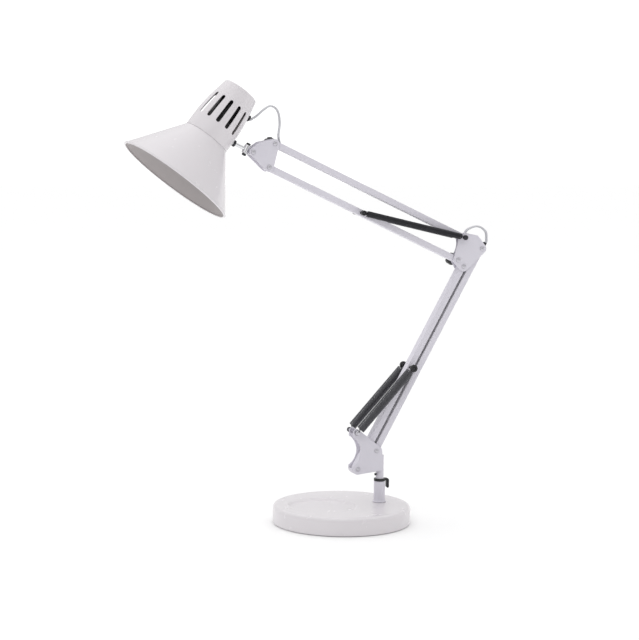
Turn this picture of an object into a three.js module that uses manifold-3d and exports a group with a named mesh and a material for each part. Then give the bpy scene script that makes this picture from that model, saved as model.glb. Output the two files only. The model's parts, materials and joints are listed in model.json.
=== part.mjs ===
// Swing arm desk lamp: a weighted round base, a swivelling bracket, two spring-balanced
// parallelogram arms made of open channels, and a vented shade on a swivel rod.
// Units are millimetres. +Z is up, the arms lie in the XZ plane, and the origin is the
// centre of the underside of the base.

import * as THREE from "three";
import { mergeVertices } from "three/addons/utils/BufferGeometryUtils.js";
import Module from "manifold-3d";

const wasm = await Module();
wasm.setup();

// ---------------------------------------------------------------- driving dimensions

const GAP = 0.3; // between pieces that touch
const CUT = 4; // how far a cutting tool runs past the face that it cuts

// base
const BASE_RADIUS = 95;
const BASE_HEIGHT = 25;
const BASE_EDGE_RADIUS = 5;
const BASE_WALL = 2;
const PAD_THICKNESS = 2;
const PAD_INSET = 6;
const SHELL_LOW = 0.8; // the shell's lower edge stands just clear of the table
const WEIGHT_THICKNESS = 14;
const WEIGHT_CLEARANCE = 1; // between the weight's rim and the shell
const NUT_POCKET_RADIUS = 13;
const NUT_POCKET_HEIGHT = 8;
const NUT_FLANGE_THICKNESS = 1.5;
const NUT_FLANGE_RADIUS = 11.5;
const NUT_THICKNESS = 6;
const NUT_RADIUS = 8.5;
const DISH_X = -28.5;
const DISH_RADIUS = 48;
const DISH_DEPTH = 3.2;

// post: socket tube, locking collar and spigot
const POST_X = 56;
const SPIGOT_RADIUS = 5.45;
const BUSH_WALL = 0.9;
const SOCKET_WALL = 0.8;
const SOCKET_RADIUS = SPIGOT_RADIUS + BUSH_WALL + 2 * GAP + SOCKET_WALL;
const SOCKET_TOP = BASE_HEIGHT + 29.5;
const SOCKET_FLANGE_RADIUS = SOCKET_RADIUS + 1.5;
const SOCKET_FLANGE_THICKNESS = 2.5;
const SOCKET_FLANGE_EDGE = 0.5;
const THREAD_RADIUS = 5;
const SPIGOT_TOP = SOCKET_TOP + 37.5;
const SPIGOT_DEPTH = 22;
const COLLAR_HEIGHT = 3.4;
const COLLAR_RADIUS = SOCKET_RADIUS + 0.2;
const LEVER_REACH = SOCKET_RADIUS + 5.6;
const LEVER_WIDTH = 8;
const LEVER_THICKNESS = 5;
const LEVER_DROP = 12.5;

// arm channels
const BAR_DEPTH = 8.5;
const BAR_WIDTH = 13;
const BAR_WALL = 1;
const BAR_OVERHANG = 5.5;
const LOWER_LENGTH = 317;
const LOWER_ANGLE = 61.1; // degrees above +X
const UPPER_LENGTH = 304.5;
const UPPER_ANGLE = 155.2;

// sheet metal of the brackets and plates
const SHEET = 1.5;
const BAR_SIDE_CLEARANCE = 1; // between a bar and the plate beside it
const WEB_CLEARANCE = 0.6; // between a bar's round end and the bracket's web
const FOOT_EDGE = BAR_OVERHANG + WEB_CLEARANCE + SHEET; // from a foot pivot to the edge
const HORN_EDGE = 4.6;
const HEEL_HEIGHT = 15.5; // from the socket's top to the bracket's lower edge at the post
const HEEL_REACH = 0.6; // from the post's axis to the bracket's rear edge
const HEEL_CORNER = 3;
const BACK_CORNER = 4;
const BACK_DROP = 12; // from the rear pivot down to the corner of the rear edge
const HORN_TIP_REACH = 1;
const SHOULDER_FROM_REAR = [1, -1];
const WAIST_RADIUS = 24;
const WAIST_FROM_REAR = [-47.5, 0]; // the centre of the hollow in front of the cheeks
const STOP_PIN_FROM_POST = [-7.4, -3.5]; // [x, y]
const STOP_PIN_RADIUS = 1.7;
const STOP_PIN_DROP = 3.2;
const CHEEK_INSIDE = BAR_WIDTH / 2 + BAR_SIDE_CLEARANCE; // from the middle plane
const CHEEK_OUTSIDE = CHEEK_INSIDE + SHEET;

// pivots, as [x, z]
const FOOT_REAR = [POST_X - 8.5, SOCKET_TOP + 44];
const FOOT_LINK = [-27.3, -24.4]; // from the rear pivot to the front one
const ELBOW_LOWER_FROM_REAR = [-35.9, -15.3];
const ELBOW_LINK = [7.9, 31.5]; // from the lower bar's pivot to the upper bar's
const HEAD_NOSE_FROM_LOWER = [-22.4, 20.1];
const HORN_FROM_FRONT = [-3.8, 51.7];
const ELBOW_CROWN_FROM_UPPER = [17.5, -4.5];
const HEAD_BROW_FROM_NOSE = [11.5, 7.4];

// from each pivot to the edge of the plate round it
const ELBOW_EDGE = { spring: 6.6, knob: 7, front: 7.2, rear: 6.6, crown: 7.5 };
const HEAD_EDGE = { knob: 6, brow: 6.2, nose: 5.4, lower: 6.2 };
const ELBOW_FAR_EDGE = 4.2; // the far plate is narrower in front, and hollowed between its pivots
const ELBOW_WAIST_RADIUS = 24;
const ELBOW_WAIST_REACH = 0.5; // from the line between the pivots to the hollow

// rivets and pins
const RIVET_RADIUS = 2;
const RIVET_HEAD_RADIUS = 3.3;
const RIVET_HEAD_HEIGHT = 1.7;
const PIN_RADIUS = 2;
const PIVOT_CLEARANCE = 0.25;

// springs
const SPRING_CLEARANCE = 0.7; // between a spring and the plate beside it
const LOWER_SPRING_RADIUS = 6;
const LOWER_SPRING_SIDE = CHEEK_OUTSIDE + LOWER_SPRING_RADIUS + SPRING_CLEARANCE;
const LOWER_CAP_RADIUS = 5.2;
const UPPER_SPRING_RADIUS = 4.3;
const UPPER_SPRING_SIDE = CHEEK_OUTSIDE + UPPER_SPRING_RADIUS + SPRING_CLEARANCE;
const UPPER_CAP_RADIUS = 3.6;
const CAP_THICKNESS = 4.5;
const PIN_HEAD_OVERHANG = 1.3; // how far the heads of the elbow's pin stand out round it
const PIN_HEAD_HEIGHT = 1.2;
const PIN_END_ROOM = 1; // between a spring's eye and the head of its pin
const STUD_FOOT = 1;
const STUD_HEAD_OVERHANG = 1.4;
const STUD_HEAD_HEIGHT = 1.8;
const EYE_SECTION = 1.6;
const EYE_SPACE = 5.8; // from the pin to the first full turn
const STEM_RADIUS = 0.9;
const LOWER_SPRING_SHARE = 0.5; // how far up the front bar the lower springs pull
const UPPER_SPRING_SHARE = 0.521;

// knobs
const KNOB_RADIUS = 8.5;
const KNOB_THICKNESS = 9;
const KNOB_LOBES = 6;
const KNOB_FLUTE_RADIUS = 2.2;

// head joint
const ROD_ANGLE = 155;
const BARREL_FROM_NOSE = 8;
const BARREL_RADIUS = 4.6;
const BARREL_HEIGHT = 12;
const TONGUE_WIDTH = 6;
const TONGUE_RADIUS = 4.6;
const ROD_LENGTH = 21; // from the barrel's centre to the wall of the shade's neck
const ROD_RADIUS = 2.9;
const SCREW_RADIUS = 3;
const SCREW_HEAD = 2.6;
const ROD_NUT_THICKNESS = 3;
const ROD_NUT_RADIUS = 4.6;

// shade
const SHADE_TILT = 37.6; // degrees from vertical, opening away from the arms
const SHADE_WALL = 1;
const NECK_RADIUS = 32.3;
const NECK_TOP_RADIUS = 24.4;
const NECK_LENGTH = 78;
const NECK_CURVE_LENGTH = 55;
const NECK_CURVE_POWER = 1.5;
const NECK_EDGE_RADIUS = 2;
const CONE_LENGTH = 71;
const RIM_RADIUS = 82;
const RIM_BEAD_RADIUS = 1.4;
const COLLAR_INSERT = 6;
const ROD_HEIGHT = 17.3; // above the seam
const SLOT_LENGTH = 35.4;
const SLOT_WIDTH = 5.4;
const SLOT_CENTRE = 38.2;
const SLOT_PITCH = 26.2; // degrees
const SLOTS_PER_SIDE = 5;
const SLOT_TURN = 16; // degrees by which each side's slots stand away from the rod
const GROMMET_HEIGHT = 56;
const GROMMET_RADIUS = 4.5;
const GROMMET_PROUD = 3.4;

// lampholder
const HOLDER_RADIUS = 17;
const HOLDER_LENGTH = 52;
const HOLDER_WALL = 2.4;
const HOLDER_FLOOR = 18;
const HOLDER_RING_RADIUS = 20;
const HOLDER_RING_HEIGHT = 9;
const HOLDER_RING_FROM_MOUTH = 6;
const NIPPLE_LENGTH = 8;
const NIPPLE_RADIUS = 5;
const CONTACT_RADIUS = 4;
const CONTACT_HEIGHT = 5;

// flat lead
const LEAD_WIDTH = 5;
const LEAD_THICKNESS = 2.6;
const LEAD_JOINT_GAP = 0.5; // between the stretches of the lead, whose faces lean a little
// from a bar's middle line to the lead in its mouth
const UPPER_LEAD_OFFSET = 2.9;
const LOWER_LEAD_OFFSET = PIN_RADIUS + GAP + LEAD_THICKNESS / 2 + 0.1;
const SLEEVE_WALL = 0.7;
const SLEEVE_LENGTH = 4;
const HEAD_SLEEVE_FROM_PIVOT = 12;
const ELBOW_SLEEVE_FROM_PIVOT = 4.5;
const LOWER_SLEEVE_PAST_PIVOT = 7;
const OUTLET_FROM_PIVOT = 17;
const OUTLET_LENGTH = 12;
const ELBOW_LOOP = [
  [181.5, 402.2],
  [189, 405.6],
  [196.6, 406.8],
  [204, 404.2],
  [210.2, 398],
];
const HEAD_LOOP = [
  [-127.5, 556],
  [-118, 564],
  [-109.5, 569.2],
  [-101.5, 567.2],
  [-96.5, 559.5],
  [-94.8, 545.5],
  [-96.3, 531],
];

// how finely the round pieces are faceted
const BASE_SEGMENTS = 40;
const SHADE_SEGMENTS = 30;
const TUBE_SEGMENTS = 16;
const SMALL_SEGMENTS = 10;
const LEAD_STEPS = 20;

// ---------------------------------------------------------------- materials

function paint(colour, roughness = 0.45, metalness = 0) {
  return new THREE.MeshStandardMaterial({ color: colour, roughness, metalness });
}

const glossWhite = paint(0xe9e6ea, 0.25);
const satinWhite = paint(0xd9d6de, 0.5);
const blackPlastic = paint(0x141416, 0.45);
const blackSteel = paint(0x26262a, 0.4, 0.8);
const greySteel = paint(0x6d6d72, 0.35, 0.9);
const castIron = paint(0x4b4b4d, 0.8, 0.6);
const chrome = paint(0xd8d8dc, 0.12, 1);
const zincSteel = paint(0xb5b5ba, 0.4, 0.9);
const rubber = paint(0x2a2a2c, 0.9);
const leadGrey = paint(0xb9b9bd, 0.6);
const brass = paint(0xb8964f, 0.35, 0.9);
const nylon = paint(0xe6e2d6, 0.6);
const bakelite = paint(0x1b1a1a, 0.4);

// ---------------------------------------------------------------- small helpers

const radians = THREE.MathUtils.degToRad;

// The unit vector [x, z] at an angle above +X in the XZ plane.
function direction(degrees) {
  return [Math.cos(radians(degrees)), Math.sin(radians(degrees))];
}

function sum(a, b, share = 1) {
  return [a[0] + share * b[0], a[1] + share * b[1]];
}

// A closed three.js geometry as a solid that can be joined and cut.
function solid(geometry) {
  const bare = new THREE.BufferGeometry();
  const loose = geometry.index ? geometry.toNonIndexed() : geometry;
  bare.setAttribute("position", loose.getAttribute("position"));
  const merged = mergeVertices(bare, 1e-4);
  const mesh = new wasm.Mesh({
    numProp: 3,
    vertProperties: merged.attributes.position.array,
    triVerts: new Uint32Array(merged.index.array),
  });
  return new wasm.Manifold(mesh);
}

// A solid as a flat-shaded three.js geometry.
function geometryOf(shape) {
  const mesh = shape.getMesh();
  const indexed = new THREE.BufferGeometry();
  indexed.setAttribute("position", new THREE.BufferAttribute(mesh.vertProperties, 3));
  indexed.setIndex(new THREE.BufferAttribute(mesh.triVerts, 1));
  const geometry = indexed.toNonIndexed();
  geometry.computeVertexNormals();
  return geometry;
}

// A profile of [radius, height] points, counter-clockwise, turned about the Z axis.
function turned(profile, segments = TUBE_SEGMENTS) {
  const points = profile.map(([r, h]) => new THREE.Vector2(r, h));
  return solid(new THREE.LatheGeometry(points, segments).rotateX(Math.PI / 2));
}

// The same, with the axis along Y: heights grow towards +Y.
function turnedAcross(profile, segments = SMALL_SEGMENTS) {
  const points = profile.map(([r, h]) => new THREE.Vector2(r, h));
  return solid(new THREE.LatheGeometry(points, segments));
}

function discProfile(radius, low, high) {
  return [
    [0, low],
    [radius, low],
    [radius, high],
    [0, high],
  ];
}

function ringProfile(inner, outer, low, high) {
  return [
    [inner, low],
    [outer, low],
    [outer, high],
    [inner, high],
    [inner, low],
  ];
}

// A shape drawn in the XZ plane, as a slab between two values of Y.
function slab(shape, from, to, curveSegments = 4) {
  const options = { depth: to - from, bevelEnabled: false, curveSegments };
  const geometry = new THREE.ExtrudeGeometry(shape, options);
  return solid(geometry.rotateX(Math.PI / 2).translate(0, to, 0));
}

function box(x0, x1, y0, y1, z0, z1) {
  const geometry = new THREE.BoxGeometry(x1 - x0, y1 - y0, z1 - z0);
  return solid(geometry.translate((x0 + x1) / 2, (y0 + y1) / 2, (z0 + z1) / 2));
}

// The outline around a counter-clockwise ring of discs, each [x, z, radius].
function outlineAround(discs) {
  const shape = new THREE.Shape();
  const normals = discs.map((disc, i) => {
    const next = discs[(i + 1) % discs.length];
    const dx = next[0] - disc[0];
    const dz = next[1] - disc[1];
    const lean = Math.acos((disc[2] - next[2]) / Math.hypot(dx, dz));
    return Math.atan2(dz, dx) - lean;
  });
  discs.forEach(([x, z, radius], i) => {
    const before = normals[(i + discs.length - 1) % discs.length];
    const turn = (normals[i] - before + 4 * Math.PI) % (2 * Math.PI);
    shape.absarc(x, z, radius, before, before + turn, false);
  });
  return shape;
}

function through(radius, from, to, x = 0, z = 0, segments = SMALL_SEGMENTS) {
  return turnedAcross(discProfile(radius, from, to), segments).translate([x, 0, z]);
}

const lamp = new THREE.Group();

// Adds a named mesh, placed by its position and its turn about Y.
function add(name, shape, material, [x, z] = [0, 0], degreesAboveX = 0, y = 0, parent = lamp) {
  const mesh = new THREE.Mesh(geometryOf(shape), material);
  mesh.name = name;
  mesh.position.set(x, y, z);
  mesh.rotation.y = -radians(degreesAboveX);
  parent.add(mesh);
  return mesh;
}

// ---------------------------------------------------------------- pivots

const lowerWay = direction(LOWER_ANGLE);
const upperWay = direction(UPPER_ANGLE);
const footRear = FOOT_REAR;
const footFront = sum(footRear, FOOT_LINK);
const horn = sum(footFront, HORN_FROM_FRONT);
const elbowRear = sum(footRear, lowerWay, LOWER_LENGTH);
const elbowFront = sum(footFront, lowerWay, LOWER_LENGTH);
const elbowLower = sum(elbowRear, ELBOW_LOWER_FROM_REAR);
const elbowUpper = sum(elbowLower, ELBOW_LINK);
const headLower = sum(elbowLower, upperWay, UPPER_LENGTH);
const headUpper = sum(elbowUpper, upperWay, UPPER_LENGTH);
const headNose = sum(headLower, HEAD_NOSE_FROM_LOWER);
const rodWay = direction(ROD_ANGLE);
const barrelCentre = sum(headNose, rodWay, BARREL_FROM_NOSE);
const neckEntry = sum(barrelCentre, rodWay, ROD_LENGTH);
const shadeUp = direction(90 - SHADE_TILT);
const shadeSide = direction(-SHADE_TILT);
const seamCentre = sum(sum(neckEntry, shadeUp, -ROD_HEIGHT), shadeSide, -NECK_RADIUS);

// ---------------------------------------------------------------- base and post

const socketBore = SPIGOT_RADIUS + BUSH_WALL + 2 * GAP;

function baseShell() {
  const inside = BASE_HEIGHT - BASE_WALL;
  const edge = BASE_EDGE_RADIUS;
  const profile = [
    [0, inside],
    [BASE_RADIUS - edge, inside],
  ];
  const innerEdge = edge - BASE_WALL;
  for (const step of [0.5, 1]) {
    const turn = (step * Math.PI) / 2;
    profile.push([
      BASE_RADIUS - edge + innerEdge * Math.sin(turn),
      BASE_HEIGHT - edge + innerEdge * Math.cos(turn),
    ]);
  }
  profile.push([BASE_RADIUS - BASE_WALL, SHELL_LOW]);
  profile.push([BASE_RADIUS, SHELL_LOW]);
  const steps = 5;
  for (let step = 0; step <= steps; step++) {
    const turn = (step / steps) * (Math.PI / 2);
    profile.push([
      BASE_RADIUS - edge + edge * Math.cos(turn),
      BASE_HEIGHT - edge + edge * Math.sin(turn),
    ]);
  }
  profile.push([0, BASE_HEIGHT]);
  const dishLow = BASE_HEIGHT - DISH_DEPTH;
  const dish = [
    [0, dishLow],
    [DISH_RADIUS - DISH_DEPTH * 2, dishLow],
    [DISH_RADIUS - DISH_DEPTH * 0.6, dishLow + DISH_DEPTH * 0.35],
    [DISH_RADIUS, BASE_HEIGHT],
    [DISH_RADIUS, BASE_HEIGHT + CUT],
    [0, BASE_HEIGHT + CUT],
  ];
  const pan = [
    [0, dishLow - BASE_WALL],
    [DISH_RADIUS - DISH_DEPTH, dishLow - BASE_WALL],
    [DISH_RADIUS + BASE_WALL, inside + BASE_WALL / 2],
    [0, inside + BASE_WALL / 2],
  ];
  const threadHole = turned(discProfile(THREAD_RADIUS + GAP, 0, BASE_HEIGHT + CUT));
  return turned(profile, BASE_SEGMENTS)
    .add(turned(pan, BASE_SEGMENTS).translate([DISH_X, 0, 0]))
    .subtract(turned(dish, BASE_SEGMENTS).translate([DISH_X, 0, 0]))
    .subtract(threadHole.translate([POST_X, 0, 0]));
}

const weightRadius = BASE_RADIUS - BASE_WALL - WEIGHT_CLEARANCE;
const weightLow = PAD_THICKNESS + GAP;
const weightHigh = weightLow + WEIGHT_THICKNESS;
const nutPocketTop = weightLow + NUT_POCKET_HEIGHT;

function baseWeight() {
  const disc = turned(discProfile(weightRadius, weightLow, weightHigh), BASE_SEGMENTS);
  const pocket = turned(discProfile(NUT_POCKET_RADIUS, weightLow - CUT, nutPocketTop));
  const hole = turned(discProfile(THREAD_RADIUS + GAP, weightLow - CUT, weightHigh + CUT));
  return disc.subtract(pocket.add(hole).translate([POST_X, 0, 0]));
}

const spigotLow = SOCKET_TOP - SPIGOT_DEPTH;
const nutTop = nutPocketTop - GAP;
const threadLow = nutTop - NUT_THICKNESS;

function socketTube() {
  const flangeLow = BASE_HEIGHT + GAP;
  const flangeHigh = flangeLow + SOCKET_FLANGE_THICKNESS;
  const floor = spigotLow - GAP;
  return turned([
    [0, threadLow],
    [THREAD_RADIUS, threadLow],
    [THREAD_RADIUS, flangeLow],
    [SOCKET_FLANGE_RADIUS - SOCKET_FLANGE_EDGE, flangeLow],
    [SOCKET_FLANGE_RADIUS, flangeLow + SOCKET_FLANGE_EDGE],
    [SOCKET_FLANGE_RADIUS, flangeLow + 2 * SOCKET_FLANGE_EDGE],
    [SOCKET_RADIUS, flangeHigh],
    [SOCKET_RADIUS, SOCKET_TOP],
    [socketBore, SOCKET_TOP],
    [socketBore, floor],
    [0, floor],
  ]);
}

function hexagon(radius, low, high) {
  const prism = new THREE.CylinderGeometry(radius, radius, high - low, 6);
  return solid(prism.rotateX(Math.PI / 2).translate(0, 0, (low + high) / 2));
}

const collarLow = SOCKET_TOP + GAP;
const collarHigh = collarLow + COLLAR_HEIGHT;

// The locking collar is a ring with an L-shaped finger lever that hangs beside the post.
function clampCollar() {
  const ring = turned(ringProfile(SPIGOT_RADIUS + GAP, COLLAR_RADIUS, collarLow, collarHigh));
  const half = LEVER_WIDTH / 2;
  const reach = box(SOCKET_RADIUS - 1, LEVER_REACH, -half, half, collarLow, collarHigh);
  const drop = box(
    LEVER_REACH - LEVER_THICKNESS,
    LEVER_REACH,
    -half,
    half,
    collarHigh - LEVER_DROP,
    collarHigh,
  );
  return ring.add(reach).add(drop);
}

function buildBase() {
  const post = [POST_X, 0];
  add("base_shell", baseShell(), glossWhite);
  add("base_weight", baseWeight(), castIron);
  const padRadius = BASE_RADIUS - PAD_INSET;
  add("base_pad", turned(discProfile(padRadius, 0, PAD_THICKNESS), BASE_SEGMENTS), rubber);
  add("socket_tube", socketTube(), satinWhite, post);
  const nutHole = turned(discProfile(THREAD_RADIUS + GAP, 0, BASE_HEIGHT));
  const flange = turned(discProfile(NUT_FLANGE_RADIUS, nutTop - NUT_FLANGE_THICKNESS, nutTop));
  const nut = hexagon(NUT_RADIUS, threadLow, nutTop).add(flange).subtract(nutHole);
  add("socket_nut", nut, zincSteel, post);
  const bushBore = SPIGOT_RADIUS + GAP;
  const bush = ringProfile(bushBore, bushBore + BUSH_WALL, spigotLow, SOCKET_TOP - GAP);
  add("swivel_bush", turned(bush), nylon, post);
  add("clamp_collar", clampCollar(), blackPlastic, post);
}

// ---------------------------------------------------------------- rivets and pins

// A rivet across the arm: a shank with a domed head outside each plate.
function rivet() {
  const seat = CHEEK_OUTSIDE + GAP;
  const dome = [
    [RIVET_HEAD_RADIUS, seat],
    [RIVET_HEAD_RADIUS * 0.85, seat + RIVET_HEAD_HEIGHT * 0.6],
    [RIVET_HEAD_RADIUS * 0.45, seat + RIVET_HEAD_HEIGHT * 0.95],
    [0, seat + RIVET_HEAD_HEIGHT],
  ];
  const far = [[RIVET_RADIUS, seat], ...dome];
  const near = far.map(([r, h]) => [r, -h]).reverse();
  return turnedAcross([...near, ...far]);
}

// A plain pin across the arm that the springs' eyes hang on.
function springPin(radius, endFace) {
  return through(radius, -endFace, endFace);
}

const holeRadius = RIVET_RADIUS + PIVOT_CLEARANCE;

function pivotHole(x, z) {
  return through(holeRadius, -CHEEK_OUTSIDE - CUT, CHEEK_OUTSIDE + CUT, x, z);
}

// ---------------------------------------------------------------- lower bracket

// One folded sheet: two cheeks joined by a web under the front pivot.
function baseBracket() {
  const right = POST_X + HEEL_REACH;
  const tip = [horn[0] + HORN_TIP_REACH, horn[1], HORN_EDGE];
  const nose = [...footFront, FOOT_EDGE];
  const heel = [right - HEEL_CORNER, SOCKET_TOP + HEEL_HEIGHT + HEEL_CORNER, HEEL_CORNER];
  const back = [right - BACK_CORNER, footRear[1] - BACK_DROP, BACK_CORNER];
  const shoulder = [...sum(footRear, SHOULDER_FROM_REAR), FOOT_EDGE];
  const outline = outlineAround([tip, nose, heel, back, shoulder]);
  const cheeks = slab(outline, -CHEEK_OUTSIDE, CHEEK_OUTSIDE);
  const room = 60;
  const inside = outlineAround([
    [...footFront, FOOT_EDGE - SHEET],
    [footRear[0] + room, footFront[1], FOOT_EDGE - SHEET],
    [footRear[0] + room, footRear[1] + room, 1],
    [footFront[0] - room, footRear[1] + room, 1],
  ]);
  const past = CHEEK_OUTSIDE + CUT;
  const hollow = sum(footRear, WAIST_FROM_REAR);
  const waist = through(WAIST_RADIUS, -past, past, ...hollow, TUBE_SEGMENTS);
  const hornHoles = through(PIN_RADIUS + GAP, -past, past, ...horn);
  const spigotDisc = turned(discProfile(SPIGOT_RADIUS + GAP, 0, SPIGOT_TOP));
  const spigotRoom = spigotDisc.translate([POST_X, 0, 0]);
  return cheeks
    .subtract(slab(inside, -CHEEK_INSIDE, CHEEK_INSIDE))
    .subtract(waist)
    .subtract(hornHoles)
    .subtract(spigotRoom)
    .subtract(pivotHole(...footRear))
    .subtract(pivotHole(...footFront));
}

// The stud that a lower spring hangs on: a shank riveted in one cheek, with a head outside.
function hornStud() {
  const outer = LOWER_SPRING_SIDE + EYE_SECTION / 2 + PIN_END_ROOM;
  return turnedAcross([
    [0, CHEEK_INSIDE - STUD_FOOT],
    [PIN_RADIUS + STUD_FOOT, CHEEK_INSIDE - STUD_FOOT],
    [PIN_RADIUS + STUD_FOOT, CHEEK_INSIDE - GAP],
    [PIN_RADIUS, CHEEK_INSIDE - GAP],
    [PIN_RADIUS, outer],
    [PIN_RADIUS + STUD_HEAD_OVERHANG, outer],
    [PIN_RADIUS + STUD_HEAD_OVERHANG / 2, outer + STUD_HEAD_HEIGHT * 0.8],
    [0, outer + STUD_HEAD_HEIGHT],
  ]);
}

function buildBracket() {
  add("base_bracket", baseBracket(), satinWhite);
  const spigot = turned([
    [0, spigotLow],
    [SPIGOT_RADIUS - 0.8, spigotLow],
    [SPIGOT_RADIUS, spigotLow + 0.8],
    [SPIGOT_RADIUS, SPIGOT_TOP - 4],
    [SPIGOT_RADIUS - 2, SPIGOT_TOP],
    [0, SPIGOT_TOP],
  ]);
  const roomRadius = BAR_OVERHANG + 2;
  const rearRoom = through(roomRadius, -CHEEK_INSIDE, CHEEK_INSIDE, ...footRear, TUBE_SEGMENTS);
  add("swivel_spigot", spigot.subtract(rearRoom.translate([-POST_X, 0, 0])), satinWhite, [POST_X, 0]);
  const webTop = footFront[1] - FOOT_EDGE + SHEET;
  const webLow = webTop - SHEET;
  const stopPin = turned(discProfile(STOP_PIN_RADIUS, webLow - STOP_PIN_DROP, webLow - GAP));
  const stopAt = sum([POST_X, 0], STOP_PIN_FROM_POST);
  add("stop_pin", stopPin, blackSteel, [stopAt[0], 0], 0, stopAt[1]);
  add("rear_pivot_rivet", rivet(), zincSteel, footRear);
  add("front_pivot_rivet", rivet(), zincSteel, footFront);
  add("horn_stud_far", hornStud(), zincSteel, horn);
  const near = add("horn_stud_near", hornStud(), zincSteel, horn);
  near.rotation.x = Math.PI;
}

// ---------------------------------------------------------------- arm channels

// An open channel from its first pivot at the origin to its second along +X. Its web is on
// the +Z side and its mouth on the -Z side, where the lead lies.
function channelBar(length, pinShare = null, pinRadius = 0) {
  const half = BAR_DEPTH / 2;
  const side = outlineAround([
    [-BAR_OVERHANG + half, 0, half],
    [length + BAR_OVERHANG - half, 0, half],
  ]);
  const flange = BAR_WIDTH / 2;
  const inner = flange - BAR_WALL;
  let bar = slab(side, -flange, flange)
    .subtract(box(-length, 2 * length, -inner, inner, -BAR_DEPTH, half - BAR_WALL))
    .subtract(pivotHole(0, 0))
    .subtract(pivotHole(length, 0));
  if (pinShare !== null) {
    const hole = through(pinRadius + GAP, -BAR_WIDTH, BAR_WIDTH, length * pinShare, 0);
    bar = bar.subtract(hole);
  }
  return bar;
}

// ---------------------------------------------------------------- springs

// The outer shape of a close-wound spring that runs along +X from one pin to the other,
// with an eye round each pin.
function springBody(length, coilRadius, pinRadius) {
  const inner = pinRadius + GAP;
  const outer = inner + EYE_SECTION;
  const eye = turnedAcross(ringProfile(inner, outer, -EYE_SECTION / 2, EYE_SECTION / 2));
  const stem = turned(discProfile(STEM_RADIUS, outer - EYE_SECTION / 2, EYE_SPACE + 1), SMALL_SEGMENTS);
  const end = eye.add(stem.rotate([0, 90, 0]));
  const coil = turned(discProfile(coilRadius, EYE_SPACE, length - EYE_SPACE), SMALL_SEGMENTS * 2);
  return coil
    .rotate([0, 90, 0])
    .add(end)
    .add(end.rotate([0, 180, 0]).translate([length, 0, 0]));
}

function capProfile(radius, from) {
  const to = from + CAP_THICKNESS;
  return [
    [PIN_RADIUS + GAP, from],
    [radius - 1, from],
    [radius, from + 1],
    [radius, to - 1],
    [radius - 1, to],
    [PIN_RADIUS + GAP, to],
    [PIN_RADIUS + GAP, from],
  ];
}

function buildSprings(prefix, pinAt, anchor, side, coilRadius, capRadius) {
  const capFrom = side + EYE_SECTION / 2 + GAP;
  add(prefix + "_spring_pin", springPin(PIN_RADIUS, capFrom + CAP_THICKNESS - 1), blackSteel, pinAt);
  const far = turnedAcross(capProfile(capRadius, capFrom), 2 * SMALL_SEGMENTS);
  const near = far.rotate([180, 0, 0]);
  add(prefix + "_spring_cap_far", far, blackPlastic, pinAt);
  add(prefix + "_spring_cap_near", near, blackPlastic, pinAt);
  const dx = anchor[0] - pinAt[0];
  const dz = anchor[1] - pinAt[1];
  const angle = THREE.MathUtils.radToDeg(Math.atan2(dz, dx));
  const body = springBody(Math.hypot(dx, dz), coilRadius, PIN_RADIUS);
  const steel = prefix === "lower" ? greySteel : blackSteel;
  add(prefix + "_spring_far", body, steel, pinAt, angle, side);
  add(prefix + "_spring_near", body, steel, pinAt, angle, -side);
}

// ---------------------------------------------------------------- flat lead

function leadSection(grow = 0) {
  const width = LEAD_WIDTH + 2 * grow;
  const thickness = LEAD_THICKNESS + 2 * grow;
  const flat = (width - thickness) / 2;
  const section = new THREE.Shape();
  section.absarc(flat, 0, thickness / 2, -Math.PI / 2, Math.PI / 2, false);
  section.absarc(-flat, 0, thickness / 2, Math.PI / 2, (3 * Math.PI) / 2, false);
  return section;
}

// A flat lead whose wide side lies across the arm, along a list of [x, z] points.
function leadAlong(points, steps) {
  const path = new THREE.CatmullRomCurve3(points.map(([x, z]) => new THREE.Vector3(x, 0, z)));
  const options = { steps, extrudePath: path, curveSegments: 2 };
  return solid(new THREE.ExtrudeGeometry(leadSection(), options));
}

// A straight stretch of lead or sleeve along +X.
function straightLead(from, to, section) {
  const options = { depth: to - from, bevelEnabled: false, curveSegments: 2 };
  const geometry = new THREE.ExtrudeGeometry(section, options);
  return solid(geometry.rotateZ(Math.PI / 2).rotateY(Math.PI / 2).translate(from, 0, 0));
}

function sleeve(from) {
  const to = from + SLEEVE_LENGTH;
  const outer = straightLead(from, to, leadSection(GAP + SLEEVE_WALL));
  return outer.subtract(straightLead(from - 1, to + 1, leadSection(GAP)));
}

// A point beside a bar: so far along it from its first pivot, and so far out of its mouth.
function besideBar(pivot, way, along, out) {
  return [pivot[0] + way[0] * along + way[1] * out, pivot[1] + way[1] * along - way[0] * out];
}

const upperRunEnd = UPPER_LENGTH - HEAD_SLEEVE_FROM_PIVOT;
const upperRunStart = ELBOW_SLEEVE_FROM_PIVOT;
const lowerRunStart = OUTLET_FROM_PIVOT + OUTLET_LENGTH + GAP;
const lowerRunEnd = LOWER_LENGTH + LOWER_SLEEVE_PAST_PIVOT + SLEEVE_LENGTH;

function buildLeadInUpperArm() {
  const out = [0, 0, -UPPER_LEAD_OFFSET];
  const run = straightLead(upperRunStart, upperRunEnd, leadSection()).translate(out);
  add("lead_upper_run", run, leadGrey, elbowUpper, UPPER_ANGLE);
  const inner = sleeve(upperRunStart).translate(out);
  add("lead_sleeve_elbow", inner, rubber, elbowUpper, UPPER_ANGLE);
  const outer = sleeve(upperRunEnd - SLEEVE_LENGTH).translate(out);
  add("lead_sleeve_head", outer, rubber, elbowUpper, UPPER_ANGLE);
}

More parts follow.
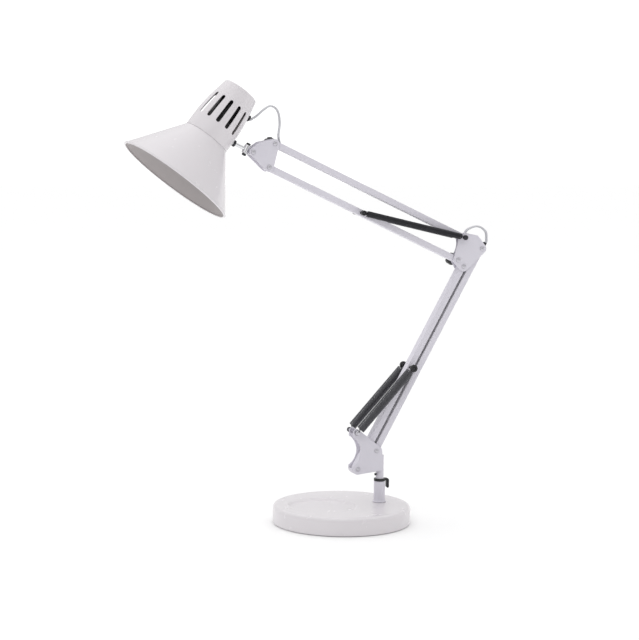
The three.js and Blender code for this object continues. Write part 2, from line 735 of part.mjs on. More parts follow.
function buildLeadInLowerArm() {
  const out = [0, 0, -LOWER_LEAD_OFFSET];
  const run = straightLead(lowerRunStart, lowerRunEnd, leadSection()).translate(out);
  add("lead_lower_run", run, leadGrey, footRear, LOWER_ANGLE);
  const top = sleeve(lowerRunEnd - SLEEVE_LENGTH).translate(out);
  add("lead_sleeve_lower", top, rubber, footRear, LOWER_ANGLE);
  const half = BAR_WIDTH / 2 - BAR_WALL - GAP;
  const outletEnd = OUTLET_FROM_PIVOT + OUTLET_LENGTH;
  const outlet = box(OUTLET_FROM_PIVOT, outletEnd, -half, half, -BAR_DEPTH / 2, 0);
  add("lead_outlet", outlet, rubber, footRear, LOWER_ANGLE);
}

function buildElbowLoop() {
  const points = [
    besideBar(elbowUpper, upperWay, upperRunStart - LEAD_JOINT_GAP, UPPER_LEAD_OFFSET),
    besideBar(elbowUpper, upperWay, upperRunStart - 6, UPPER_LEAD_OFFSET + 1.6),
    ...ELBOW_LOOP,
    besideBar(footRear, lowerWay, lowerRunEnd + 3, LOWER_LEAD_OFFSET + 0.5),
    besideBar(footRear, lowerWay, lowerRunEnd + LEAD_JOINT_GAP, LOWER_LEAD_OFFSET),
  ];
  add("lead_elbow_loop", leadAlong(points, LEAD_STEPS), leadGrey);
}

function buildHeadLoop() {
  const root = sum(seamCentre, shadeUp, GROMMET_HEIGHT);
  const start = sum(root, shadeSide, neckRadius(GROMMET_HEIGHT) + GROMMET_PROUD + GAP);
  const points = [
    start,
    sum(start, shadeSide, 1.5),
    ...HEAD_LOOP,
    besideBar(elbowUpper, upperWay, upperRunEnd + 3, UPPER_LEAD_OFFSET + 0.5),
    besideBar(elbowUpper, upperWay, upperRunEnd + LEAD_JOINT_GAP, UPPER_LEAD_OFFSET),
  ];
  add("lead_head_loop", leadAlong(points, LEAD_STEPS), leadGrey);
}

// ---------------------------------------------------------------- elbow and head plates

function plate(discs, holes, side) {
  const from = side < 0 ? -CHEEK_OUTSIDE : CHEEK_INSIDE;
  let shape = slab(outlineAround(discs), from, from + SHEET);
  for (const [x, z, radius] of holes) {
    shape = shape.subtract(through(radius, -CHEEK_OUTSIDE - CUT, CHEEK_OUTSIDE + CUT, x, z));
  }
  return shape;
}

function addPlate(name, side, discs, holes, origin) {
  const local = ([x, z, radius]) => [x - origin[0], z - origin[1], radius];
  add(name, plate(discs.map(local), holes.map(local), side), satinWhite, origin);
}

function buildElbow() {
  const crown = sum(elbowUpper, ELBOW_CROWN_FROM_UPPER);
  const behind = [
    [...elbowFront, ELBOW_EDGE.front],
    [...elbowRear, ELBOW_EDGE.rear],
    [...crown, ELBOW_EDGE.crown],
  ];
  const nearEdge = [[...elbowUpper, ELBOW_EDGE.spring], [...elbowLower, ELBOW_EDGE.knob]];
  const farEdge = [[...elbowUpper, ELBOW_FAR_EDGE], [...elbowLower, ELBOW_FAR_EDGE]];
  const holes = [elbowUpper, elbowLower, elbowFront, elbowRear].map((p) => [...p, holeRadius]);
  const linkLength = Math.hypot(...ELBOW_LINK);
  const forwards = [-ELBOW_LINK[1] / linkLength, ELBOW_LINK[0] / linkLength];
  const middle = sum(elbowLower, ELBOW_LINK, 0.5);
  const waist = sum(middle, forwards, ELBOW_WAIST_REACH + ELBOW_WAIST_RADIUS);
  addPlate("elbow_plate_near", -1, [...nearEdge, ...behind], holes, elbowRear);
  const farCuts = [...holes, [...waist, ELBOW_WAIST_RADIUS]];
  addPlate("elbow_plate_far", 1, [...farEdge, ...behind], farCuts, elbowRear);
  add("elbow_rear_rivet", rivet(), zincSteel, elbowRear);
  add("elbow_front_rivet", rivet(), zincSteel, elbowFront);
  const pinFace = UPPER_SPRING_SIDE + EYE_SECTION / 2 + PIN_END_ROOM;
  const head = through(PIN_RADIUS + PIN_HEAD_OVERHANG, pinFace - 0.1, pinFace + PIN_HEAD_HEIGHT);
  const pin = springPin(PIN_RADIUS, pinFace).add(head).add(head.rotate([180, 0, 0]));
  add("elbow_spring_pin", pin, blackSteel, elbowUpper);
  add("elbow_bolt", knobBolt(), zincSteel, elbowLower);
}

// A bolt with a domed head on the near side, whose far end carries a knob.
function knobBolt() {
  const seat = CHEEK_OUTSIDE + GAP;
  return turnedAcross([
    [0, -seat - RIVET_HEAD_HEIGHT],
    [RIVET_HEAD_RADIUS * 0.45, -seat - RIVET_HEAD_HEIGHT * 0.95],
    [RIVET_HEAD_RADIUS * 0.85, -seat - RIVET_HEAD_HEIGHT * 0.6],
    [RIVET_HEAD_RADIUS, -seat],
    [RIVET_RADIUS, -seat],
    [RIVET_RADIUS, seat + KNOB_THICKNESS * 0.6],
    [0, seat + KNOB_THICKNESS * 0.6],
  ]);
}

// A round knob with finger flutes and a blind hole for its bolt.
function knob() {
  const from = CHEEK_OUTSIDE + GAP;
  const to = from + KNOB_THICKNESS;
  let shape = turnedAcross(
    [
      [0, from],
      [KNOB_RADIUS * 0.7, from],
      [KNOB_RADIUS, from + 2],
      [KNOB_RADIUS, to - 1.5],
      [KNOB_RADIUS - 1.5, to],
      [0, to],
    ],
    2 * SMALL_SEGMENTS,
  );
  shape = shape.subtract(through(holeRadius, from - 1, from + KNOB_THICKNESS * 0.7));
  for (let lobe = 0; lobe < KNOB_LOBES; lobe++) {
    const [x, z] = sum([0, 0], direction((360 * lobe) / KNOB_LOBES), KNOB_RADIUS + 1);
    shape = shape.subtract(through(KNOB_FLUTE_RADIUS, from + 2.5, to + CUT, x, z, 8));
  }
  return shape;
}

function buildHeadPlates() {
  const brow = sum(headNose, HEAD_BROW_FROM_NOSE);
  const discs = [
    [...headUpper, HEAD_EDGE.knob],
    [...brow, HEAD_EDGE.brow],
    [...headNose, HEAD_EDGE.nose],
    [...headLower, HEAD_EDGE.lower],
  ];
  const holes = [headUpper, headLower, headNose].map((p) => [...p, holeRadius]);
  addPlate("head_plate_near", -1, discs, holes, headLower);
  addPlate("head_plate_far", 1, discs, holes, headLower);
  add("head_bolt", knobBolt(), zincSteel, headUpper);
  add("head_lower_rivet", rivet(), zincSteel, headLower);
  add("head_nose_rivet", rivet(), zincSteel, headNose);
}

// ---------------------------------------------------------------- swivel block and rod

// The block in its own frame: the nose pivot at the origin and the rod along +X.
function swivelBlock() {
  const tongue = slab(
    outlineAround([
      [0, 0, TONGUE_RADIUS],
      [BARREL_FROM_NOSE, 0, TONGUE_RADIUS - 0.5],
    ]),
    -TONGUE_WIDTH / 2,
    TONGUE_WIDTH / 2,
  );
  const halfHeight = BARREL_HEIGHT / 2;
  const barrel = turned([
    [0, -halfHeight],
    [BARREL_RADIUS - 0.8, -halfHeight],
    [BARREL_RADIUS, -halfHeight + 0.8],
    [BARREL_RADIUS, halfHeight - 0.8],
    [BARREL_RADIUS - 0.8, halfHeight],
    [0, halfHeight],
  ]);
  const tapRadius = SCREW_RADIUS * 0.5 + GAP;
  const tap = turned(discProfile(tapRadius, -halfHeight - 1, halfHeight + 1), SMALL_SEGMENTS);
  const bore = turned(discProfile(ROD_RADIUS + GAP, 0, BARREL_FROM_NOSE), SMALL_SEGMENTS * 2);
  return tongue
    .add(barrel.translate([BARREL_FROM_NOSE, 0, 0]))
    .subtract(tap.translate([BARREL_FROM_NOSE, 0, 0]))
    .subtract(bore.rotate([0, 90, 0]).translate([BARREL_FROM_NOSE - ROD_RADIUS - 0.5, 0, 0]))
    .subtract(pivotHole(0, 0));
}

// A clamp screw that presses on the rod, pointing inwards along -Z.
function clampScrew() {
  const halfHeight = BARREL_HEIGHT / 2;
  const face = halfHeight + GAP;
  return turned(
    [
      [0, ROD_RADIUS + 2 * GAP],
      [SCREW_RADIUS * 0.5, ROD_RADIUS + 2 * GAP],
      [SCREW_RADIUS * 0.5, face],
      [SCREW_RADIUS, face],
      [SCREW_RADIUS, face + SCREW_HEAD * 0.6],
      [SCREW_RADIUS * 0.6, face + SCREW_HEAD],
      [0, face + SCREW_HEAD],
    ],
    SMALL_SEGMENTS,
  ).translate([BARREL_FROM_NOSE, 0, 0]);
}

function buildSwivelBlock() {
  add("swivel_block", swivelBlock(), chrome, headNose, ROD_ANGLE);
  const screw = clampScrew();
  add("block_screw_lower", screw, blackPlastic, headNose, ROD_ANGLE);
  add("block_screw_upper", screw.rotate([180, 0, 0]), blackPlastic, headNose, ROD_ANGLE);
}

// ---------------------------------------------------------------- shade

const shade = new THREE.Group();
shade.position.set(seamCentre[0], 0, seamCentre[1]);
shade.rotation.y = radians(SHADE_TILT);
lamp.add(shade);

function addToShade(name, shape, material, degreesAboveX = 0) {
  return add(name, shape, material, [0, 0], degreesAboveX, 0, shade);
}

// How far the neck has drawn in at a height above the seam, from 0 to 1 at its top.
function neckCurve(height) {
  const rise = (height - (NECK_LENGTH - NECK_CURVE_LENGTH)) / NECK_CURVE_LENGTH;
  return rise > 0 ? Math.pow(rise, NECK_CURVE_POWER) : 0;
}

function neckRadius(height) {
  return NECK_RADIUS - (NECK_RADIUS - NECK_TOP_RADIUS) * neckCurve(height);
}

function shadeNeck() {
  const steps = 4;
  const start = NECK_LENGTH - NECK_CURVE_LENGTH;
  const end = NECK_LENGTH - NECK_EDGE_RADIUS;
  const wall = [];
  for (let step = 0; step <= steps; step++) {
    const height = start + ((end - start) * step) / steps;
    wall.push([neckRadius(height), height]);
  }
  const ceiling = NECK_LENGTH - SHADE_WALL;
  const inner = wall.map(([r, h]) => [r - SHADE_WALL, Math.min(h, ceiling)]).reverse();
  const profile = [
    [0, ceiling],
    [neckRadius(end) - NECK_EDGE_RADIUS, ceiling],
    ...inner,
    [NECK_RADIUS - SHADE_WALL, 0],
    [NECK_RADIUS, 0],
    ...wall,
    [neckRadius(end) - NECK_EDGE_RADIUS * 0.3, NECK_LENGTH - NECK_EDGE_RADIUS * 0.3],
    [neckRadius(end) - NECK_EDGE_RADIUS, NECK_LENGTH],
    [0, NECK_LENGTH],
  ];
  const slotRun = SLOT_LENGTH - SLOT_WIDTH;
  const slotShape = outlineAround([
    [0, SLOT_CENTRE - slotRun / 2, SLOT_WIDTH / 2],
    [0, SLOT_CENTRE + slotRun / 2, SLOT_WIDTH / 2],
  ]);
  const slot = slab(slotShape, NECK_TOP_RADIUS - CUT, NECK_RADIUS + CUT, 3);
  let neck = turned(profile, SHADE_SEGMENTS);
  for (let i = 0; i < SLOTS_PER_SIDE; i++) {
    const angle = SLOT_TURN + (i - (SLOTS_PER_SIDE - 1) / 2) * SLOT_PITCH;
    neck = neck.subtract(slot.rotate([0, 0, angle])).subtract(slot.rotate([0, 0, 180 - angle]));
  }
  const grommetBore = GROMMET_RADIUS - 1 + GAP;
  const grommetHole = turned(discProfile(grommetBore, 0, NECK_RADIUS + CUT), SMALL_SEGMENTS);
  neck = neck.subtract(grommetHole.rotate([0, 90, 0]).translate([0, 0, GROMMET_HEIGHT]));
  const rodHole = turned(discProfile(ROD_RADIUS + GAP, -CUT, CUT), SMALL_SEGMENTS);
  return neck.subtract(rodHole.rotate([0, rodPitch, 0]).translate([NECK_RADIUS, 0, ROD_HEIGHT]));
}

// The rod's lean in the shade's own frame, as a turn about Y that takes +Z onto the rod.
const rodPitch = 90 - SHADE_TILT + (180 - ROD_ANGLE);

function shadeCone() {
  const top = -GAP;
  const insert = NECK_RADIUS - SHADE_WALL - GAP;
  const bead = RIM_BEAD_RADIUS;
  const low = -CONE_LENGTH;
  return turned(
    [
      [insert - SHADE_WALL, COLLAR_INSERT],
      [insert - SHADE_WALL, top - 1],
      [NECK_RADIUS - SHADE_WALL + 0.6, top - 2.4],
      [RIM_RADIUS - 2 * bead, low + 2 * bead],
      [RIM_RADIUS - 2 * bead, low + 0.6 * bead],
      [RIM_RADIUS - bead, low],
      [RIM_RADIUS, low + 0.8 * bead],
      [RIM_RADIUS - 0.6 * bead, low + 1.8 * bead],
      [NECK_RADIUS + 0.9, top - 1],
      [NECK_RADIUS, top],
      [insert, top],
      [insert, COLLAR_INSERT],
      [insert - SHADE_WALL, COLLAR_INSERT],
    ],
    SHADE_SEGMENTS,
  );
}

// The rod in its own frame, from the barrel's bore at the origin along +X into the neck.
function shadeRod() {
  const start = -ROD_RADIUS;
  const end = ROD_LENGTH + 7;
  return turned(
    [
      [0, start],
      [ROD_RADIUS - 0.5, start],
      [ROD_RADIUS, start + 0.5],
      [ROD_RADIUS, end - 0.5],
      [ROD_RADIUS - 0.5, end],
      [0, end],
    ],
    SMALL_SEGMENTS * 2,
  ).rotate([0, 90, 0]);
}

function buildShade() {
  addToShade("shade_neck", shadeNeck(), glossWhite);
  addToShade("shade_cone", shadeCone(), glossWhite);
  add("shade_rod", shadeRod(), chrome, barrelCentre, ROD_ANGLE);
  const outside = turned(
    ringProfile(ROD_RADIUS + GAP, ROD_NUT_RADIUS, 0, ROD_NUT_THICKNESS),
    SMALL_SEGMENTS,
  ).rotate([0, 90, 0]);
  const nutFrom = ROD_LENGTH - ROD_NUT_THICKNESS - 1;
  add("rod_nut", outside.translate([nutFrom, 0, 0]), blackSteel, barrelCentre, ROD_ANGLE);
  const face = neckRadius(GROMMET_HEIGHT);
  const grommet = turned(
    [
      [0, face - SHADE_WALL - 2],
      [GROMMET_RADIUS - 1, face - SHADE_WALL - 2],
      [GROMMET_RADIUS - 1, face + 0.9],
      [GROMMET_RADIUS, face + 0.9],
      [GROMMET_RADIUS, face + 2.4],
      [GROMMET_RADIUS - 1, face + GROMMET_PROUD],
      [0, face + GROMMET_PROUD],
    ],
    SMALL_SEGMENTS,
  ).rotate([0, 90, 0]);
  addToShade("lead_grommet", grommet.translate([0, 0, GROMMET_HEIGHT]), rubber);
}

function buildLampholder() {
  const top = NECK_LENGTH - SHADE_WALL - GAP;
  const shoulder = top - NIPPLE_LENGTH;
  const low = shoulder - HOLDER_LENGTH;
  const cup = HOLDER_RADIUS - HOLDER_WALL;
  const holder = turned([
    [0, shoulder - HOLDER_FLOOR],
    [cup, shoulder - HOLDER_FLOOR],
    [cup, low],
    [HOLDER_RADIUS, low],
    [HOLDER_RADIUS, shoulder - 3],
    [HOLDER_RADIUS - 4, shoulder],
    [NIPPLE_RADIUS, shoulder],
    [NIPPLE_RADIUS, top],
    [0, top],
  ]);
  addToShade("lampholder", holder, bakelite);
  const ringLow = low + HOLDER_RING_FROM_MOUTH;
  const ringHigh = ringLow + HOLDER_RING_HEIGHT;
  const ring = ringProfile(HOLDER_RADIUS + GAP, HOLDER_RING_RADIUS, ringLow, ringHigh);
  addToShade("lampholder_ring", turned(ring), bakelite);
  const contactTop = shoulder - HOLDER_FLOOR - GAP;
  const contact = discProfile(CONTACT_RADIUS, contactTop - CONTACT_HEIGHT, contactTop);
  addToShade("lamp_contact", turned(contact, SMALL_SEGMENTS), brass);
}

// ---------------------------------------------------------------- assembly

buildBase();
buildBracket();

const lowerPin = sum(footFront, lowerWay, LOWER_LENGTH * LOWER_SPRING_SHARE);
add("lower_rear_bar", channelBar(LOWER_LENGTH), satinWhite, footRear, LOWER_ANGLE);
const frontBar = channelBar(LOWER_LENGTH, LOWER_SPRING_SHARE, PIN_RADIUS);
add("lower_front_bar", frontBar, satinWhite, footFront, LOWER_ANGLE);
buildSprings("lower", lowerPin, horn, LOWER_SPRING_SIDE, LOWER_SPRING_RADIUS, LOWER_CAP_RADIUS);

buildElbow();
add("elbow_knob", knob(), blackPlastic, elbowLower);

const upperPin = sum(elbowLower, upperWay, UPPER_LENGTH * UPPER_SPRING_SHARE);
add("upper_top_bar", channelBar(UPPER_LENGTH), satinWhite, elbowUpper, UPPER_ANGLE);
const bottomBar = channelBar(UPPER_LENGTH, UPPER_SPRING_SHARE, PIN_RADIUS);
add("upper_bottom_bar", bottomBar, satinWhite, elbowLower, UPPER_ANGLE);
buildSprings("upper", upperPin, elbowUpper, UPPER_SPRING_SIDE, UPPER_SPRING_RADIUS, UPPER_CAP_RADIUS);

buildHeadPlates();
add("head_knob", knob(), blackPlastic, headUpper);
buildSwivelBlock();
buildShade();
buildLampholder();
buildLeadInUpperArm();
buildLeadInLowerArm();
buildElbowLoop();
buildHeadLoop();

export default lamp;
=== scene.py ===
import json
import math

import bmesh
import bpy
import numpy as np
from bpy.props import FloatProperty, FloatVectorProperty, IntProperty, PointerProperty
from mathutils import Matrix, Vector


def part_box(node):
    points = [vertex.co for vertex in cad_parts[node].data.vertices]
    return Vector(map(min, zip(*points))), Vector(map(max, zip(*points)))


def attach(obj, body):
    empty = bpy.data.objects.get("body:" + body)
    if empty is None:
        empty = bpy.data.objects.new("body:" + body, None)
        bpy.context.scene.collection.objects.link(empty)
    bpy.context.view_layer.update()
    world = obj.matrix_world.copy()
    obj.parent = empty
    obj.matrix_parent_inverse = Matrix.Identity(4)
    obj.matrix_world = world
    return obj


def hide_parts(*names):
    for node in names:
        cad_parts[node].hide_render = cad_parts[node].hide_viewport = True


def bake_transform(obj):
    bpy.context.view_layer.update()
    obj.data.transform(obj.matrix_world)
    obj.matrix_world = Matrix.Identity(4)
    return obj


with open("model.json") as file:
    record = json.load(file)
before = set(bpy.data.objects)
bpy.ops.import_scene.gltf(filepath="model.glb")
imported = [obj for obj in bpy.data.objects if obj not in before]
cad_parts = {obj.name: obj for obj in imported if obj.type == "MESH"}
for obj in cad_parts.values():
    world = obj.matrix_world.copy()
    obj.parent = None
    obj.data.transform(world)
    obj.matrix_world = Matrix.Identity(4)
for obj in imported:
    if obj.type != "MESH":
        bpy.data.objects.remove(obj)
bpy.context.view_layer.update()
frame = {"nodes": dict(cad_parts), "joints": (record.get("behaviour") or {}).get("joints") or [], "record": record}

bl_info = {
    "name": "Swing Arm Desk Lamp",
    "version": (1, 0, 0),
    "blender": (4, 5, 0),
    "location": "3D View > Sidebar > Lamp",
    "description": "Builds the finished surfaces of a balanced desk lamp around its frame",
    "category": "Object",
}

MM = 0.001

# ---------------------------------------------------------------- places, from the frame

JOINT_AT = {joint["name"]: np.array(joint["pos_m"]) for joint in frame["joints"]}
JOINT_AXIS = {joint["name"]: np.array(joint["axis"]) for joint in frame["joints"]}


def flat(point):
    """The x and z of a point in the arms' plane."""
    return np.array([point[0], point[2]])


def middle(node):
    """The centre of a frame node's box, as x and z."""
    low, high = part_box(node)
    return flat((low + high) / 2)


def way(degrees):
    """The unit vector (x, z) at an angle above +X."""
    return np.array([math.cos(math.radians(degrees)), math.sin(math.radians(degrees))])


def angle_of(vector):
    """The angle of an (x, z) vector above +X, in degrees."""
    return math.degrees(math.atan2(vector[1], vector[0]))


POST_X = JOINT_AT["base_swivel"][0]
FOOT_REAR = flat(JOINT_AT["lower_arm_swing"])
FOOT_FRONT = flat(JOINT_AT["lower_front_follow"])
ELBOW_REAR = flat(JOINT_AT["elbow_level"])
ELBOW_FRONT = FOOT_FRONT + ELBOW_REAR - FOOT_REAR
ELBOW_LOWER = flat(JOINT_AT["upper_bottom_follow"])
ELBOW_UPPER = flat(JOINT_AT["upper_arm_swing"])
HEAD_UPPER = flat(JOINT_AT["head_level"])
HEAD_LOWER = ELBOW_LOWER + HEAD_UPPER - ELBOW_UPPER
HEAD_NOSE = flat(JOINT_AT["head_tilt"])
BARREL = flat(JOINT_AT["head_turn"])
HORN = middle("horn_stud_near")
LOWER_PIN = middle("lower_spring_pin")
UPPER_PIN = middle("upper_spring_pin")
LOWER_WAY = (ELBOW_REAR - FOOT_REAR) / np.linalg.norm(ELBOW_REAR - FOOT_REAR)
UPPER_WAY = (HEAD_UPPER - ELBOW_UPPER) / np.linalg.norm(HEAD_UPPER - ELBOW_UPPER)
LOWER_LENGTH = float(np.linalg.norm(ELBOW_REAR - FOOT_REAR))
UPPER_LENGTH = float(np.linalg.norm(HEAD_UPPER - ELBOW_UPPER))
ROD_WAY = flat(JOINT_AXIS["head_turn"])
BASE_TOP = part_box("base_shell")[1].z
SOCKET_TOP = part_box("socket_tube")[1].z
COLLAR_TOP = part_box("clamp_collar")[1].z
COLLAR_LOW = COLLAR_TOP - 3.4 * MM

# ---------------------------------------------------------------- sizes that stay as they are

TRAY_CENTRE = -28.5 * MM  # along X from the base's middle
BASE_WALL = 2 * MM
SHEET_EDGE = 0.35 * MM  # roll of a plate's edge
HOLLOW_RADIUS = 24 * MM  # of the circle that hollows the cheeks and the far elbow plate
PIN_RADIUS = 2 * MM  # shank of the rivets, studs, bolts and cross pins
RIVET_HEAD, RIVET_HEIGHT = 3.3 * MM, 1.7 * MM
RIVET_GAP = 0.2 * MM  # between a plate and a rivet's head
KNOB_LOW, KNOB_HIGH = 9.3 * MM, 18.3 * MM  # across from the middle plane
FLUTES, FLUTE_DEPTH = 6, 1.1 * MM
BAR_OVERHANG = 5.5 * MM  # of a channel past its pivot
HOOK_GAP = 5.8 * MM  # from a spring's pin to its first turn
ROD_LENGTH, ROD_RADIUS = 28 * MM, 2.9 * MM
SLOT_CENTRE = 38.2 * MM  # above the seam
SLOT_PITCH, SLOT_TURN = math.radians(26.2), math.radians(16)  # the turn is away from the rod
PANEL_LOW, PANEL_HIGH = 16 * MM, 60 * MM  # of the band of the neck that holds the slots
GROMMET_HEIGHT = 56 * MM  # above the seam
LEAD = (5 * MM, 2.6 * MM)
UPPER_OUT, LOWER_OUT = 2.9 * MM, 3.7 * MM  # of the lead, from the middle of its bar
SLEEVE = 4 * MM

# where the lead's loops pass, as x and z in millimetres
ELBOW_LOOP = [(181.5, 402.2), (189, 405.6), (196.6, 406.8), (204, 404.2), (210.2, 398)]
HEAD_LOOP = [(-127.5, 556), (-118, 564), (-109.5, 569.2), (-101.5, 567.2), (-96.5, 559.5)]
HEAD_LOOP += [(-94.8, 545.5), (-96.3, 531)]

# ---------------------------------------------------------------- what a user would change


def length(name, description, default):
    return FloatProperty(name=name, description=description, default=default, min=0, unit="LENGTH")


def colour(name, description, default):
    return FloatVectorProperty(
        name=name, description=description, default=default, size=3, min=0, max=1, subtype="COLOR"
    )


class LampSizes(bpy.types.PropertyGroup):
    """Sizes of the lamp's finished surfaces."""

    edge_radius: length("Base edge", "Radius of the base's rounded top edge", 5 * MM)
    dish_radius: length("Tray radius", "Radius of the shallow tray in the base", 48 * MM)
    dish_depth: length("Tray depth", "Depth of the shallow tray in the base", 3.2 * MM)
    sheet: length("Sheet", "Thickness of the plates and the bracket", 1.5 * MM)
    plate_side: length("Plate side", "From the middle plane to the inside of a plate", 7.5 * MM)
    bar_depth: length("Bar depth", "Depth of an arm's channel", 8.5 * MM)
    bar_width: length("Bar width", "Width of an arm's channel", 13 * MM)
    bar_wall: length("Bar wall", "Thickness of an arm's channel", 1 * MM)
    lower_wire: length("Lower wire", "Thickness of the lower springs' wire", 1.3 * MM)
    upper_wire: length("Upper wire", "Thickness of the upper springs' wire", 1.25 * MM)
    knob_radius: length("Knob radius", "Radius of a tension knob", 8.5 * MM)
    shade_tilt: FloatProperty(
        name="Shade tilt",
        description="Lean of the shade's axis from upright",
        default=math.radians(37.6),
        subtype="ANGLE",
    )
    shade_wall: length("Shade wall", "Thickness of the shade's sheet", 1 * MM)
    neck_radius: length("Neck radius", "Radius of the shade's neck at the seam", 32.3 * MM)
    neck_top: length("Neck top", "Radius of the shade's neck at its closed end", 24.4 * MM)
    neck_length: length("Neck length", "Length of the shade's neck", 78 * MM)
    cone_length: length("Cone length", "Length of the shade's cone", 71 * MM)
    rim_radius: length("Rim radius", "Radius of the shade's open rim", 81.8 * MM)
    slot_length: length("Slot length", "Length of a vent slot", 35.4 * MM)
    slot_width: length("Slot width", "Width of a vent slot", 5.4 * MM)
    slots_per_side: IntProperty(name="Slots", description="Vent slots on each side", default=5, min=1)


class LampColours(bpy.types.PropertyGroup):
    """Colours of the lamp's finishes."""

    gloss: colour("Gloss paint", "Paint of the base and the shade", (0.72, 0.69, 0.715))
    satin: colour("Powder coat", "Powder coat of the arms and the plates", (0.69, 0.67, 0.735))
    # The inside of the shade has the same white paint as its outside; this darker colour is painted shade.
    painted_shade_inside: colour("Shade lining", "Paint inside the shade", (0.40, 0.37, 0.37))
    black: colour("Black parts", "Knobs, caps and collar", (0.014, 0.014, 0.016))
    wire: colour("Spring wire", "Lower springs", (0.13, 0.13, 0.14))
    lead: colour("Lead", "Sheath of the flat lead", (0.56, 0.56, 0.59))
    floor: colour("Floor", "Floor under the lamp", (0.97, 0.97, 0.97))


# ---------------------------------------------------------------- shapes


def rounded(points, radius, steps=4, closed=False):
    """Each corner C becomes the quadratic curve (1-t)^2 A + 2t(1-t) C + t^2 B between two points set back from it."""
    points = np.asarray(points, float)
    before = np.roll(points, 1, axis=0)
    after = np.roll(points, -1, axis=0)
    back, ahead = before - points, after - points
    back_length = np.linalg.norm(back, axis=1, keepdims=True) + 1e-12
    ahead_length = np.linalg.norm(ahead, axis=1, keepdims=True) + 1e-12
    a = points + back / back_length * np.minimum(radius, back_length * 0.45)
    b = points + ahead / ahead_length * np.minimum(radius, ahead_length * 0.45)
    if not closed:
        a[0] = b[0] = points[0]
        a[-1] = b[-1] = points[-1]
    t = np.linspace(0, 1, steps + 1)[None, :, None]
    curve = (1 - t) ** 2 * a[:, None] + 2 * t * (1 - t) * points[:, None] + t**2 * b[:, None]
    return curve.reshape(-1, points.shape[1])


def around(discs, steps=14):
    """The outline round discs (x, z, radius) in counter-clockwise order: an arc on each, joined by straight lines."""
    turns = []
    for (x, z, r), (x2, z2, r2) in zip(discs, discs[1:] + discs[:1]):
        reach = math.hypot(x2 - x, z2 - z)
        turns.append(math.atan2(z2 - z, x2 - x) - math.acos((r - r2) / reach))
    arcs = []
    for i, (x, z, r) in enumerate(discs):
        first = turns[i - 1]
        sweep = (turns[i] - first) % (2 * math.pi)
        t = first + np.linspace(0, sweep, steps)
        arcs.append(np.stack([x + r * np.cos(t), z + r * np.sin(t)], -1))
    return np.concatenate(arcs)


def smooth_path(points, count):
    """A Catmull-Rom curve through the points: each span is a cubic set by the four points round it."""
    p = np.asarray(points, float)
    p = np.concatenate([[2 * p[0] - p[1]], p, [2 * p[-1] - p[-2]]])
    u = np.linspace(0, len(p) - 3 - 1e-9, count)
    i = u.astype(int)
    t = (u - i)[:, None]
    a, b, c, d = p[i], p[i + 1], p[i + 2], p[i + 3]
    return 0.5 * (2 * b + (c - a) * t + (2 * a - 5 * b + 4 * c - d) * t**2 + (3 * b - a - 3 * c + d) * t**3)


class Shell:
    """Grids and caps gathered into one mesh."""

    def __init__(self):
        self.points = []
        self.faces = []
        self.kinds = []
        self.count = 0

    def grid(self, points, wrap_rows=False, wrap_columns=True, kind=0):
        """Quads between the neighbouring points of a rows by columns grid."""
        rows, columns = points.shape[:2]
        i = np.arange(rows if wrap_rows else rows - 1)
        j = np.arange(columns if wrap_columns else columns - 1)
        i, j = (a.ravel() for a in np.meshgrid(i, j, indexing="ij"))
        i2, j2 = (i + 1) % rows, (j + 1) % columns
        quads = np.stack([i * columns + j, i * columns + j2, i2 * columns + j2, i2 * columns + j], -1)
        self.faces += (quads + self.count).tolist()
        self.kinds += [kind] * len(quads)
        self.points.append(points.reshape(-1, 3))
        self.count += rows * columns
        return self

    def cap(self, ring, kind=0):
        """One face across a ring of points."""
        self.faces.append(list(range(self.count, self.count + len(ring))))
        self.kinds.append(kind)
        self.points.append(np.asarray(ring, float))
        self.count += len(ring)
        return self

    def join(self, other, kind=None):
        self.faces += [[k + self.count for k in face] for face in other.faces]
        self.kinds += other.kinds if kind is None else [kind] * len(other.kinds)
        self.points += other.points
        self.count += other.count
        return self

    def moved(self, change):
        """The same shell with its points changed by a function of an array."""
        self.points = [change(np.concatenate(self.points))]
        return self

    def placed(self, origin, degrees=0.0, y=0.0):
        """Local x and z turned by an angle above +X about the Y axis, then moved to the origin and across by y."""
        c, s = way(degrees)

        def place(p):
            x = origin[0] + p[:, 0] * c - p[:, 2] * s
            z = origin[1] + p[:, 0] * s + p[:, 2] * c
            return np.stack([x, p[:, 1] + y, z], -1)

        return self.moved(place)


def turned(profile, segments=96, closed=False):
    """Profile points (r, h) go to (r cos t, r sin t, h) as t goes round the circle."""
    profile = np.asarray(profile, float)
    t = np.linspace(0, 2 * math.pi, segments, endpoint=False)
    r, h = profile[:, :1], profile[:, 1:]
    points = np.stack([r * np.cos(t), r * np.sin(t), h + 0 * t], -1)
    return Shell().grid(points, wrap_rows=closed)


def turned_across(profile, segments=64, closed=False):
    """The same, with the axis along Y."""
    return turned(profile, segments, closed).moved(lambda p: p[:, [0, 2, 1]])


def turned_along(profile, segments=64, closed=False):
    """The same, with the axis along X."""
    return turned(profile, segments, closed).moved(lambda p: p[:, [2, 1, 0]])


def sheet_slab(outline, y0, y1, edge):
    """A flat outline (x, z) given a thickness along Y, with its edges rolled by a quarter circle of a small radius."""
    tangent = np.roll(outline, -1, axis=0) - np.roll(outline, 1, axis=0)
    tangent /= np.linalg.norm(tangent, axis=1, keepdims=True) + 1e-12
    inward = np.stack([-tangent[:, 1], tangent[:, 0]], -1)
    t = np.linspace(0, math.pi / 2, 4)
    inset = np.concatenate([edge * (1 - np.sin(t)), edge * (1 - np.cos(t))])
    across = np.concatenate([y0 + edge * (1 - np.cos(t)), y1 - edge * (1 - np.sin(t))])
    flat_rings = outline[None] + inward[None] * inset[:, None, None]
    y = np.broadcast_to(across[:, None], flat_rings.shape[:2])
    rings = np.stack([flat_rings[..., 0], y, flat_rings[..., 1]], -1)
    return Shell().grid(rings).cap(rings[0]).cap(rings[-1])


